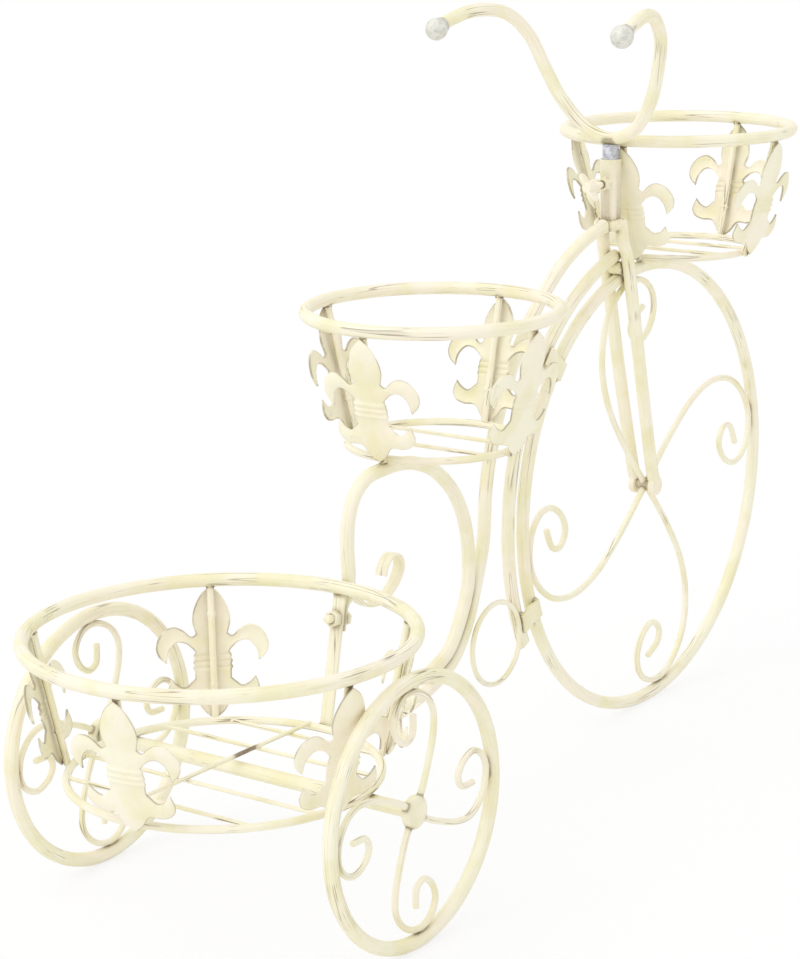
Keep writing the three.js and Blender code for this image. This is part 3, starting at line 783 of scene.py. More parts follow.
@dataclass(frozen=True)
class CreamPaint:
    """Cream paint brushed over dark steel and rubbed through in streaks.

    Attributes:
        name: The finish's name.
        streaks: How strongly worn streaks along the rod show.
        patches: How much of the surface carries streaks, from 0 to 1.
        edges: How strongly bare edges show.
        brush: How strongly brush marks show.
        glaze_and_contact_shade: How dark the corners are where pieces meet, a dark glaze together with
            painted contact shade.
        slot: The record's material slot.
    """

    name: str
    streaks: float = 0.6
    patches: float = 0.42
    edges: float = 0.0
    brush: float = 0.3
    glaze_and_contact_shade: float = 0.55
    slot: str = "cream_paint"

    def material(self) -> bpy.types.Material:
        """Makes the finish, or finds it if it is made already.

        Returns:
            The material.
        """
        if self.name in bpy.data.materials:
            return bpy.data.materials[self.name]
        material, g = new_material(self.name)
        place = g.add("ShaderNodeTexCoord", {}, {}, 3)
        run = g.attribute("run", 1)
        # seam: nearness to other pieces, which darkens the paint there with dark glaze and painted contact
        # shade
        seam = g.attribute("seam", 2)
        edge = g.attribute("wear", 2)
        clouds = g.noise(place, 15.0, 3.0)
        warm = g.noise(place, 37.0, 4.0, 5.3)
        brush = g.noise(run, (24.0, 950.0, 950.0), 3.0, 2.1)
        rubbed = g.noise(run, (26.0, 1250.0, 1250.0), 2.0, 9.7)
        hair = g.noise(run, (5.0, 190.0, 190.0), 1.0, 3.4).line_at(0.5, 0.02)
        fine = g.noise(run, (13.0, 1500.0, 1500.0), 2.0, 7.7).between(0.42, 0.58)
        patch = g.noise(place, 24.0, 2.0, 14.2)
        stretch = g.noise(place, 15.0, 2.0, 6.1)
        grain = g.noise(place, 1400.0, 2.0, 1.9)
        cream, blush = linear(249, 245, 221), linear(251, 243, 223)
        straw, glaze_and_contact_shade = linear(241, 235, 193), linear(180, 164, 112)
        rust_and_crevice_shade, bare, shade = linear(108, 86, 68), linear(132, 114, 94), linear(229, 218, 178)
        colour = g.mix(clouds.between(0.38, 0.62), cream, blush)
        colour = g.mix(warm.between(0.42, 0.7) * 0.8, colour, straw)
        colour = g.mix(brush.between(0.48, 0.74) * self.brush, colour, shade)
        # Painted contact shade with some dark glaze: the paint turns olive-brown near other pieces
        colour = g.mix(seam * (0.5 + grain.between(0.35, 0.65) * 0.5) * self.glaze_and_contact_shade, colour, glaze_and_contact_shade)
        # Painted crevice shade with some dark glaze: the rust colour goes deeper into corners where pieces
        # touch, and also marks the worn streaks below
        crevice_glaze_and_shade = seam.between(0.42, 0.86) * (0.35 + warm.between(0.4, 0.56) * 0.65)
        colour = g.mix(crevice_glaze_and_shade * (self.glaze_and_contact_shade * 0.8), colour, rust_and_crevice_shade)
        low = 0.68 - 0.22 * self.patches
        marks = rubbed.between(0.575, 0.64) * patch.between(low, low + 0.08) * 0.75
        hairline = hair * stretch.between(low - 0.05, low + 0.04) * (0.3 + fine * 0.7)
        worn = g.add("ShaderNodeMath", {"operation": "MAXIMUM"}, {0: marks, 1: hairline})
        colour = g.mix(worn * self.streaks, colour, rust_and_crevice_shade)
        thin = edge * warm.between(0.4, 0.56) * self.edges
        colour = g.mix(thin, colour, bare)
        rough = 0.44 + brush * 0.14 + worn * 0.12
        height = brush * (0.5 + self.brush) + grain * 0.25 - worn * 0.6
        normal = g.add("ShaderNodeBump", {}, {"Strength": 0.3, "Distance": 0.0002, "Height": height})
        shader = g.add("ShaderNodeBsdfPrincipled", {},
                       {"Base Color": colour, "Roughness": rough, "Normal": normal, "IOR": 1.45})
        g.add("ShaderNodeOutputMaterial", {}, {"Surface": shader})
        return material


@dataclass(frozen=True)
class BareMetal:
    """Plain metal or silvery paint with fine scratches.

    Attributes:
        name: The finish's name.
        light: The metal's main colour.
        dark: The colour of its dull patches.
        metallic: How metallic it is.
        roughness: Its middle roughness.
        slot: The record's material slot.
    """

    name: str
    light: tuple[float, float, float, float]
    dark: tuple[float, float, float, float]
    metallic: float
    roughness: float
    slot: str

    def material(self) -> bpy.types.Material:
        """Makes the finish, or finds it if it is made already.

        Returns:
            The material.
        """
        if self.name in bpy.data.materials:
            return bpy.data.materials[self.name]
        material, g = new_material(self.name)
        place = g.add("ShaderNodeTexCoord", {}, {}, 3)
        seam = g.attribute("seam", 2)
        dull = g.noise(place, 260.0, 4.0)
        scratch = g.noise(place, (900.0, 900.0, 120.0), 3.0, 4.4)
        specks = g.noise(place, 470.0, 3.0, 8.8)
        polish, stain, grime_and_contact_shade = linear(248, 248, 246), linear(134, 134, 128), linear(120, 112, 104)
        colour = g.mix(dull.between(0.42, 0.66), self.light, self.dark)
        colour = g.mix(scratch.between(0.6, 0.75) * 0.5, colour, polish)
        colour = g.mix(specks.between(0.54, 0.64) * 0.2, colour, stain)
        # Painted contact shade with some grime: the metal turns darker near other pieces
        colour = g.mix(seam * 0.35, colour, grime_and_contact_shade)
        rough = self.roughness + dull * 0.18
        height = dull * 0.8 + scratch * 0.3 - specks * 0.5
        normal = g.add("ShaderNodeBump", {}, {"Strength": 0.5, "Distance": 0.0004, "Height": height})
        shader = g.add("ShaderNodeBsdfPrincipled", {}, {
            "Base Color": colour, "Roughness": rough, "Normal": normal, "Metallic": self.metallic})
        g.add("ShaderNodeOutputMaterial", {}, {"Surface": shader})
        return material


TUBE_PAINT = CreamPaint("cream_on_tubes", streaks=0.65, patches=0.4, brush=0.45)
RIM_PAINT = CreamPaint("cream_on_rims", streaks=0.7, patches=0.5, brush=0.45)
# The wires carry the strongest painted contact shade, along the ribs beside the lilies
WIRE_PAINT = CreamPaint("cream_on_wires", streaks=0.9, patches=0.66, edges=0.95, glaze_and_contact_shade=0.95)
SCROLL_PAINT = CreamPaint("cream_on_scrolls", streaks=0.6, patches=0.5)
LILY_PAINT = CreamPaint("cream_on_lilies", streaks=0.2, patches=0.2, edges=0.6, brush=0.08, glaze_and_contact_shade=0.6)
SCREW_PAINT = CreamPaint("cream_on_the_screw", streaks=0.7, patches=0.9, glaze_and_contact_shade=0.95)
STEEL = BareMetal("stem_steel", linear(222, 223, 228), linear(178, 181, 191), 0.4, 0.36, "bare_steel")
SILVER = BareMetal("ball_end_silver", linear(231, 230, 220), linear(213, 212, 202), 0.1, 0.4, "silver_white")

Finish = CreamPaint | BareMetal


# ---- dressing --------------------------------------------------------------------------------
CONTACT_SHADE_REACH = 4.5  # how far from a neighbour the glaze and painted contact shade darken the paint, in millimetres
LILY_REACH = 3.0  # the same on the lilies
TOUCH = 0.5  # pieces nearer than this count as touching, in millimetres


class Neighbours:
    """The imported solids, searched for what a piece touches."""

    def __init__(self) -> None:
        """Reads every solid once."""
        self.shapes: dict[str, tuple[np.ndarray, np.ndarray]] = {}
        for name, obj in frame["nodes"].items():
            faces = loop_corners(obj.data).reshape(-1, 3)
            self.shapes[name] = (corners(obj.data), faces)

    def closeness(self, places: np.ndarray, own: str, reach: float) -> np.ndarray:
        """Tells how near each point is to the pieces round it.

        Args:
            places: Points in metres.
            own: The node that the points belong to, which doesn't count.
            reach: Distance at which nothing is felt any more, in millimetres.

        Returns:
            A share from 0, far, to 1, touching, for each point.
        """
        low, high = places.min(0) - reach * MM, places.max(0) + reach * MM
        verts, faces, count = [], [], 0
        for name, (points, triangles) in self.shapes.items():
            if name == own or (points.max(0) < low).any() or (points.min(0) > high).any():
                continue
            verts.append(points)
            faces.append(triangles + count)
            count += len(points)
        if not verts:
            return np.zeros(len(places))
        tree = BVHTree.FromPolygons(np.vstack(verts).tolist(), np.vstack(faces).tolist())
        found = [tree.find_nearest(p, reach * MM)[3] for p in places.tolist()]
        away = np.array([reach if d is None else d / MM for d in found])
        share = np.clip(1 - (away - TOUCH) / (reach - TOUCH), 0, 1)
        return share * share


NEIGHBOURS = Neighbours()


def dress(obj: bpy.types.Object, node: str, finish: Finish, sharp: float = 38.0) -> bpy.types.Object:
    """Puts a finished shape in a node's place: its name, shading, finish and body.

    Args:
        obj: The finished shape, with its place in its mesh.
        node: The CAD node that it stands for.
        finish: What it is painted with.
        sharp: Edges sharper than this many degrees stay sharp.

    Returns:
        The same object.
    """
    facing_out(obj)
    bpy.ops.object.transform_apply(location=True, rotation=True, scale=True)
    bpy.ops.object.shade_smooth_by_angle(angle=math.radians(sharp))
    obj.name = obj.data.name = f"{node}_form"
    obj.data.materials.clear()
    obj.data.materials.append(finish.material())
    reach = LILY_REACH if "lily" in node else CONTACT_SHADE_REACH
    # The seam share marks nearness to other pieces, for the glaze and painted contact shade
    store_point(obj.data, "seam", NEIGHBOURS.closeness(corners(obj.data), node, reach))
    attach(obj, BODY_OF[node])
    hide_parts(node)
    LOG.info("%s: %d faces, rides on %s", obj.name, len(obj.data.polygons), BODY_OF[node])
    return obj


# ---- wheels ----------------------------------------------------------------------------------
@dataclass(frozen=True)
class ScrollSpokes:
    """Four scroll spokes of one wheel, each turned a quarter from the last.

    Attributes:
        shape: Outward and sideways places of the spoke, in shares of its reach.
        rod: Diameter of the rod.
        wheel: Centre-line radius of the hoop.
        side: Which way the spokes bow, 1 or -1.
    """

    shape: Sequence[tuple[float, float]]
    rod: float
    wheel: float
    side: float

    def path(self, quarter: int, centre: Point, hub: float) -> np.ndarray:
        """Gives one spoke's centre line.

        Args:
            quarter: Number of quarter turns.
            centre: The wheel's centre.
            hub: Radius of the hub that the spoke starts from.

        Returns:
            The line's points.
        """
        flat = smooth_line([(out, 0.0, across * self.side) for out, across in self.shape], 0.012)
        touch = self.wheel - PLAN.tube / 2 - PLAN.weld_gap - self.rod / 2
        flat = flat * touch / np.linalg.norm(flat, axis=1).max()
        flat = flat[np.linalg.norm(flat, axis=1) > hub]
        turn = quarter * math.pi / 2
        x = flat[:, 0] * math.cos(turn) - flat[:, 2] * math.sin(turn)
        z = flat[:, 0] * math.sin(turn) + flat[:, 2] * math.cos(turn)
        return np.column_stack([centre[0] + x, np.full(len(x), centre[1]), centre[2] + z])

    def build(self, name: str, quarter: int, centre: Point, hub: float) -> bpy.types.Object:
        """Bends one spoke and welds it to the hoop and hub.

        Args:
            name: The CAD node that it stands for.
            quarter: Number of quarter turns.
            centre: The wheel's centre.
            hub: Radius of the hub that the spoke starts from.

        Returns:
            The dressed spoke.
        """
        line = self.path(quarter, centre, hub)
        rod = Rod(line, self.rod, 12, (0.2, 0.9), (0.12, 0.0), step=3.0)
        away = np.linalg.norm(line - np.array(centre), axis=1)
        touch = line[away.argmax()]
        out = (touch - np.array(centre)) / away.max()
        weld = touch + out * self.rod / 2
        long = abs(out[0]) > abs(out[2])
        size = (1.3, self.rod * 0.42, 3.4) if long else (3.4, self.rod * 0.42, 1.3)
        return dress(joined([rod.build(), BEADS.at(weld, size)]), name, SCROLL_PAINT)


@dataclass(frozen=True)
class FrontWheel:
    """The big front wheel: hoop, hub pin and four scroll spokes.

    Attributes:
        pin: Diameter of the hub pin.
        pin_half: Half of its length.
        spokes: The scroll spokes.
    """

    pin: float = 9.0
    pin_half: float = 6.2
    spokes: ScrollSpokes = ScrollSpokes(
        (
            (0.01, 0.01), (0.233, 0.198), (0.436, 0.331), (0.622, 0.384), (0.797, 0.358),
            (0.917, 0.27), (0.981, 0.15), (0.963, 0.02), (0.9, -0.05), (0.814, -0.062),
            (0.728, -0.012), (0.692, 0.067), (0.738, 0.135), (0.797, 0.125), (0.85, 0.03),
        ),
        5.0, PLAN.front_radius, 1.0,
    )

    def build(self) -> None:
        """Builds and dresses the wheel."""
        centre = (0.0, 0.0, PLAN.front_z)
        hoop = Hoop(centre, PLAN.front_radius, PLAN.tube, Axis.ACROSS, 236.0, 200)
        dress(hoop.build(), "front_hoop", TUBE_PAINT)
        pin = drum((0, -self.pin_half, PLAN.front_z), (0, self.pin_half, PLAN.front_z), self.pin, 28)
        dress(rounded(pin, 0.6), "front_hub_pin", TUBE_PAINT)
        for quarter in range(4):
            self.spokes.build(f"front_scroll_{quarter + 1}", quarter, centre, self.pin / 2 - 0.4)


@dataclass(frozen=True)
class RearWheel:
    """A small rear wheel: hoop, hub disc and four scroll spokes.

    Attributes:
        name: Which side it is on.
        side: 1 on the left, -1 on the right.
        disc: Diameter of the hub disc.
        spokes: The scroll spokes.
    """

    name: str
    side: float
    disc: float = 22.0
    spokes: ScrollSpokes = ScrollSpokes(
        (
            (0.03, 0.02), (0.17, 0.11), (0.38, 0.2), (0.58, 0.262), (0.735, 0.268), (0.86, 0.205),
            (0.955, 0.07), (0.975, -0.09), (0.908, -0.21), (0.785, -0.262), (0.65, -0.205),
            (0.59, -0.1), (0.635, -0.015), (0.8, 0.0),
        ),
        4.5, PLAN.rear_radius, -1.0,
    )

    def build(self) -> None:
        """Builds and dresses the wheel."""
        x, y, z = PLAN.rear_x, self.side * PLAN.track / 2, PLAN.rear_z
        centre = (x, y, z)
        hoop = Hoop(centre, PLAN.rear_radius, PLAN.tube, Axis.ACROSS, 152.0, 128)
        dress(hoop.build(), f"rear_hoop_{self.name}", TUBE_PAINT)
        half = PLAN.hub_thickness / 2
        disc = drum((x, y - half, z), (x, y + half, z), self.disc, 40)
        dished(disc, lambda middle, normal: abs(normal.y) > 0.9, 3.0, 1.2)
        dress(disc, f"rear_hub_{self.name}", TUBE_PAINT)
        for quarter in range(4):
            name = f"rear_scroll_{self.name}_{quarter + 1}"
            self.spokes.build(name, quarter, centre, self.disc / 2 - 0.3)


@dataclass(frozen=True)
class RearAxle:
    """The straight tube between the two rear hubs."""

    def build(self) -> None:
        """Builds and dresses the axle."""
        end = PLAN.track / 2 - PLAN.hub_thickness / 2 - PLAN.weld_gap
        points = [(PLAN.rear_x, y, PLAN.rear_z) for y in (-end, 0.0, end)]
        dress(Rod(points, PLAN.tube, 18, (0.02, 0.02), (0.1, 0.1), step=5.0).build(), "rear_axle", TUBE_PAINT)


# ---- backbone --------------------------------------------------------------------------------
@dataclass(frozen=True)
class Backbone:
    """The long tube from the head to the tail, the tube behind the front wheel, and what joins them.

    Attributes:
        bow_offset: From the front hoop's centre line to the main tube's, along its upper bow.
        guard_from: Degrees round the wheel at which the tube behind it starts.
        guard_sweep: Degrees that this tube goes round.
        foot: Length of its foot that is pressed flat.
        strap_size: Length, thickness and width of the straps.
        pin_at: Degrees round the wheel at which the crown pin sits.
        pin: Diameter of the crown pin.
        pin_half: Half of its length.
        ring: Centre-line radius of the small ring at the tail.
        ring_rod: Its rod.
    """

    bow_offset: float = 53.4
    guard_from: float = 103.5
    guard_sweep: float = 103.0
    foot: float = 22.0
    strap_size: Point = (25.0, 2.5, 15.0)
    pin_at: float = 104.0
    pin: float = 10.4
    pin_half: float = 5.2
    ring: float = 31.5
    ring_rod: float = 4.0

    def main_path(self) -> list[Point]:
        """Lists the main tube's points, from the head down to its cut end.

        Returns:
            The points of its centre line.
        """
        bow = [PLAN.polar(PLAN.front_radius + self.bow_offset, 124 + 11 * i) for i in range(6)]
        return in_plane([
            (PLAN.head_x - 4.25, 405.5), (-88.0, 398.5), (-112.0, 389.0), *bow,
            (-244.0, 158.0), (-256.0, 131.0), (-274.0, 109.0), (-303.0, 95.5), (-341.0, 87.0),
        ])

    def main_tube(self) -> bpy.types.Object:
        """Bends the main tube, welds it to the head and leaves its lower end open.

        Returns:
            The dressed tube.
        """
        line = smooth_line(self.main_path(), 3.0)
        line = line[line[:, 0] < PLAN.head_x - 7.5]
        rod = Rod(line, PLAN.tube, 18, (0.02, 0.35), (0.16, 0.0), step=3.2)
        obj = rod.build()
        inwards = rod.line[-8] - rod.line[-1]
        inwards = Vector(inwards / np.linalg.norm(inwards))
        hollowed(obj, line[-1], inwards, 1.1, 16.0)
        return dress(obj, "main_tube", TUBE_PAINT)

    def guard_tube(self) -> bpy.types.Object:
        """Bends the tube that follows the front wheel and presses its foot flat.

        Returns:
            The dressed tube.
        """
        turns = [self.guard_from + self.guard_sweep * i / 24 for i in range(25)]
        places = [PLAN.polar(PLAN.guard_radius, turn) for turn in turns]
        rod = Rod(in_plane(places), PLAN.tube, 18, (1.2, 0.6), step=3.2)
        obj = rod.build()
        start = rod.along[-1] - self.foot

        def form(gone: float) -> tuple[float, float, float]:
            """Goes from round to flat over the last stretch of the tube."""
            share = eased(gone, start, start + 12.0)
            return 5 + 1.4 * share, 5 - 2.1 * share, 0.5 * share

        return dress(rod.flattened(obj, form), "mudguard_tube", TUBE_PAINT)

    def strap(self, name: str, degrees: float) -> bpy.types.Object:
        """Makes a flat strap across the hoop and the tube behind it, with its welds.

        Args:
            name: The CAD node that it stands for.
            degrees: Where it lies round the wheel.

        Returns:
            The dressed strap.
        """
        x, z = PLAN.polar((PLAN.guard_radius + PLAN.front_radius) / 2, degrees)
        nothing_selected()
        bpy.ops.mesh.primitive_cube_add(size=MM)
        plate = bpy.context.active_object
        plate.data.transform(Matrix.Diagonal((*self.strap_size, 1.0)))
        pick_faces(plate, lambda centre, normal: True)
        bpy.ops.mesh.subdivide(number_cuts=5)
        bpy.ops.object.mode_set(mode="OBJECT")
        places = corners(plate.data)
        places[:, 1] += 0.55 * MM * np.cos(places[:, 0] / MM * 2 * np.pi / 20.0)
        put_corners(plate.data, places)
        rounded(plate, 0.8, 3, 50.0)
        plate.data.transform(Matrix.Rotation(math.radians(-degrees), 4, "Y"))
        plate.data.transform(Matrix.Translation(PLAN.metres([(x, -6.3, z)])[0]))
        welds = []
        for radius in (PLAN.front_radius, PLAN.guard_radius):
            for edge in (-1, 1):
                wx, wz = PLAN.polar(radius, degrees + edge * math.degrees(7.6 / radius))
                welds.append(BEADS.at((wx, -5.2, wz), (2.6, 1.4, 1.8), degrees * edge))
        return dress(joined([plate, *welds]), name, TUBE_PAINT)

    def crown_pin(self) -> bpy.types.Object:
        """Makes the short pin that fills the space between hoop, tube and fork legs.

        Returns:
            The dressed pin.
        """
        x, z = PLAN.polar((PLAN.guard_radius + PLAN.front_radius) / 2, self.pin_at)
        pin = drum((x, -self.pin_half, z), (x, self.pin_half, z), self.pin, 28)
        beads = [BEADS.at((x + dx, side * 4.6, z - 1), 2.0, dx * 20)
                 for side in (-1, 1) for dx in (-3.5, 3.5)]
        return dress(joined([rounded(pin, 0.8), *beads]), "crown_pin", TUBE_PAINT)

    def tail_ring(self) -> bpy.types.Object:
        """Rolls the small ring and welds it to the near side of both tubes.

        Returns:
            The dressed ring.
        """
        centre = (-224.28, -5.18, 109.52)
        hoop = Hoop(centre, self.ring, self.ring_rod, Axis.ACROSS, 100.0, 84, 12).build()
        front = BEADS.at((centre[0] + self.ring * 0.94, -5.0, centre[2] + 10.6), (1.8, 1.6, 4.2), 5)
        back = BEADS.at((centre[0] - self.ring * 0.93, -5.0, centre[2] + 9.0), (1.8, 1.6, 4.2), 40)
        return dress(joined([hoop, front, back]), "tail_ring", SCROLL_PAINT)

    def build(self) -> None:
        """Builds and dresses the backbone."""
        self.main_tube()
        self.guard_tube()
        self.strap("mudguard_strap_upper", 139)
        self.strap("mudguard_strap_lower", 200)
        self.crown_pin()
        self.tail_ring()


# ---- head, fork, clamp and handlebar ---------------------------------------------------------
@dataclass(frozen=True)
class Head:
    """The head tube with its welded nut, and the two fork legs.

    Attributes:
        outer: Outside diameter of the head tube.
        bore: Diameter of its bore.
        bottom: Its lowest point.
        top: Its highest point.
        nut: Distance across the nut's corners.
        nut_reach: How far the nut stands out from the tube.
        screw_hole: Diameter of the hole in the nut.
    """

    outer: float = 16.5
    bore: float = 13.4
    bottom: float = 400.0
    top: float = 455.5
    nut: float = 10.4
    nut_reach: float = 4.5
    screw_hole: float = 5.6

    def head_tube(self) -> bpy.types.Object:
        """Makes the head tube, bores it and welds the threaded nut on its back.

        Returns:
            The dressed tube with its nut.
        """
        foot, rim = (PLAN.head_x, 0, self.bottom), (PLAN.head_x, 0, self.top)
        body = drum(foot, rim, self.outer, 48)
        wall = (self.outer - self.bore) / 2
        hollowed(body, rim, Vector((0, 0, -1)), wall, self.top - PLAN.bore_floor)
        rounded(body, 0.45, 2, 60.0)
        back, z = PLAN.head_x - self.outer / 2, PLAN.screw_z
        nut = rounded(drum((back + 1.2, 0, z), (back - self.nut_reach, 0, z), self.nut, 6), 0.5)
        cut(nut, drum((back - 8, 0, z), (back + 3, 0, z), self.screw_hole, 24))
        welds = [BEADS.at((back + 0.1, 4.6 * math.cos(a), z + 4.6 * math.sin(a)), 1.3, a * 30)
                 for a in (0.5, 1.6, 2.7, 3.9, 5.2)]
        return dress(joined([body, nut, *welds]), "head_tube", TUBE_PAINT)

    def leg(self, name: str, side: float) -> bpy.types.Object:
        """Bends one fork leg, from the head's side down to its eye on the hub pin.

        Args:
            name: Which side it is on.
            side: 1 on the left, -1 on the right.

        Returns:
            The dressed leg.
        """
        x, clear_y = PLAN.head_x, 10.3
        points = [
            (x + 2, side * 8.1, 408.5), (x + 4, side * 9.3, 391), (x + 7.5, side * clear_y, 381),
            (-40, side * clear_y, 350), (-22, side * 9.8, 270), (-4.5, side * 9, 199),
            (-1.5, side * 9, 190),
        ]
        leg = Rod(points, PLAN.tube, 18, (1.8, 1.5), step=3.2).build()
        eye = drum((0, side * 6.5, PLAN.front_z), (0, side * 11.5, PLAN.front_z), 16, 36)
        dished(eye, lambda middle, normal: normal.y * side > 0.9, 2.2, 1.0)
        welds = [BEADS.at((x + 3 - 2.6 * k, side * (8.6 + 0.6 * k), 401 + 1.5 * k), (2.4, 1.8, 3.2), 30 * k)
                 for k in (-1, 1)]
        reach = 9.4
        for turn in (100, 118, 136, 154):
            across, back = math.sin(math.radians(turn)), math.cos(math.radians(turn))
            place = (x + reach * back, side * reach * across, 405.4 - 0.02 * (turn - 100))
            welds.append(BEADS.at(place, (3.4, 3.4, 4.4), turn))
        return dress(joined([leg, eye, *welds]), f"fork_leg_{name}", TUBE_PAINT)

    def build(self) -> None:
        """Builds and dresses the head and fork."""
        self.head_tube()
        self.leg("left", 1.0)
        self.leg("right", -1.0)


@dataclass(frozen=True)
class ClampScrew:
    """The wing screw behind the head that holds the handlebar.

    Attributes:
        tip: Its end against the stem, from the front wheel centre.
        length: Length of its thread.
        rod: Diameter of its thread.
        pitch: Distance between thread ridges.
    """

    tip: float = -61.7
    length: float = 20.0
    rod: float = 5.0
    pitch: float = 1.0

    def on_axis(self, gone: float) -> Point:
        """Gives the point of the screw's axis at a distance from its tip."""
        return (self.tip - gone, 0, PLAN.screw_z)

    def thread(self) -> bpy.types.Object:
        """Turns the threaded rod, ridge by ridge.

        Returns:
            The threaded rod.
        """
        count = int(self.length / self.pitch)
        body = drum(self.on_axis(0), self.on_axis(self.length + 0.5), self.rod - 0.05, 24)
        only(body)
        for i in range(1, 2 * count + 1):
            spot = PLAN.metres([self.on_axis(i * self.pitch / 2)])[0]
            bpy.ops.object.mode_set(mode="EDIT")
            bpy.ops.mesh.select_all(action="SELECT")
            bpy.ops.mesh.bisect(plane_co=spot, plane_no=(1, 0, 0), threshold=1e-6)
            bpy.ops.object.mode_set(mode="OBJECT")
        places = corners(body.data)
        axis = PLAN.metres([self.on_axis(0)])[0]
        depth = np.rint((axis[0] - places[:, 0]) / MM / (self.pitch / 2)).astype(int) % 2
        share = np.where(depth == 1, 1.0, 0.86)
        places[:, 1] *= share
        places[:, 2] = axis[2] + (places[:, 2] - axis[2]) * share
        put_corners(body.data, places)
        return body

    def wing(self, turn: float) -> bpy.types.Object:
        """Shapes one wing of the screw.

        Args:
            turn: Degrees that it is turned about the screw.

        Returns:
            The wing.
        """
        corners_of_wing = [
            (-3.2, -1.0, 0), (-4.6, 4.0, 0), (-4.1, 8.6, 0), (-2.0, 11.6, 0),
            (1.0, 12.2, 0), (3.6, 10.0, 0), (4.3, 5.4, 0), (3.6, -1.0, 0),
        ]
        outline = smooth_line(corners_of_wing, 0.8)
        nothing_selected()
        bpy.ops.mesh.primitive_circle_add(vertices=len(outline), radius=MM, fill_type="NGON")
        wing = bpy.context.active_object
        put_corners(wing.data, outline * MM)
        modified(wing, "SOLIDIFY", thickness=2.4 * MM, offset=0.0)
        facing_out(wing)
        rounded(wing, 0.8, 3, 50.0)
        places = corners(wing.data)
        middle = np.exp(-(((places[:, 1] / MM - 8) / 3.2) ** 2) - ((places[:, 0] / MM) / 2.4) ** 2)
        places[:, 2] *= 1 - 0.35 * middle
        put_corners(wing.data, places)
        upright = Matrix.Rotation(math.radians(90 + turn), 4, "X")
        place = Matrix.Translation(PLAN.metres([self.on_axis(self.length + 5)])[0])
        wing.data.transform(place @ upright)
        return wing

    def build(self) -> None:
        """Builds and dresses the screw."""
        hub = drum(self.on_axis(self.length), self.on_axis(self.length + 9), 8.0, 28)
        rounded(hub, 0.9, 3)
        dress(joined([self.thread(), hub, self.wing(-35), self.wing(145)]), "clamp_screw", SCREW_PAINT)


@dataclass(frozen=True)
class Handlebar:
    """The swept bar on its stem, with ball ends.

    Attributes:
        bottom: Height of the bar's lowest centre-line point.
        stem: Outside diameter of the stem.
        knob: Diameter of the ball ends.
        half: Half of the bar's centre line, from its lowest point.
    """

    bottom: float = 471.0
    stem: float = 12.8
    knob: float = 17.0
    half: tuple[Point, ...] = (
        (0, 0, 0), (-1, 12, 2.6), (-2.5, 25, 10.5), (-9, 41, 32), (-16, 51, 56), (-25, 58.5, 79),
        (-46, 65.5, 96.5), (-75, 74, 100.3), (-103, 79.5, 94.5), (-113, 80.5, 90.5),
    )

    def build(self) -> None:
        """Builds and dresses the bar, its stem and its ball ends."""
        near = [(PLAN.head_x + x, y, self.bottom + z) for x, y, z in self.half]
        far = [(x, -y, z) for x, y, z in near[:0:-1]]
        bar = Rod([*far, *near], PLAN.tube, 20, (0.4, 0.4), step=2.6).build()
        dress(bar, "handlebar", TUBE_PAINT)
        self.stem_tube()
        last, before = (np.array(p, float) for p in (near[-1], near[-2]))
        out = (last - before) / np.linalg.norm(last - before)
        self.ball("knob_left", last, out)
        self.ball("knob_right", last * (1, -1, 1), out * (1, -1, 1))

    def stem_tube(self) -> bpy.types.Object:
        """Makes the stem, with a ring of weld where the bar sits on it.

        Returns:
            The dressed stem.
        """
        x, z = PLAN.head_x, self.bottom - PLAN.tube / 2
        stem = drum((x, 0, PLAN.bore_floor + PLAN.clear), (x, 0, z - 0.4), self.stem, 44)
        rounded(stem, 0.5)
        beads = [BEADS.at((x + 4.6 * math.cos(a), 4.6 * math.sin(a), z), (2.0, 2.0, 1.1), a * 40)
                 for a in np.linspace(0, 2 * np.pi, 11)[:-1]]
        return dress(joined([stem, *beads]), "handlebar_stem", STEEL)

    def ball(self, name: str, end: np.ndarray, out: np.ndarray) -> bpy.types.Object:
        """Makes a cast ball end with a short neck.

        Args:
            name: The CAD node that it stands for.
            end: The bar's end point.
            out: Unit direction out of the bar.

        Returns:
            The dressed ball.
        """
        centre = end + out * self.knob * 0.22
        nothing_selected()
        bpy.ops.mesh.primitive_uv_sphere_add(segments=40, ring_count=26, radius=self.knob / 2 * MM)
        ball = bpy.context.active_object
        places = corners(ball.data)
        up = places[:, 2] / (self.knob / 2 * MM)
        seam = 1 - 0.016 * np.exp(-(((up - 0.1) / 0.05) ** 2))
        flat = np.where(up > 0.93, 0.93 + (up - 0.93) * 0.4, up)
        places[:, :2] *= seam[:, None]
        places[:, 2] = flat * self.knob / 2 * MM
        put_corners(ball.data, places)
        turn = Vector(out).to_track_quat("Z", "Y").to_matrix().to_4x4()
        ball.data.transform(Matrix.Translation(PLAN.metres([centre])[0]) @ turn)
        neck = drum(end - out * 5.2, end, 12.0, 28)
        rounded(neck, 1.0, 3)
        return dress(joined([ball, neck]), name, SILVER)


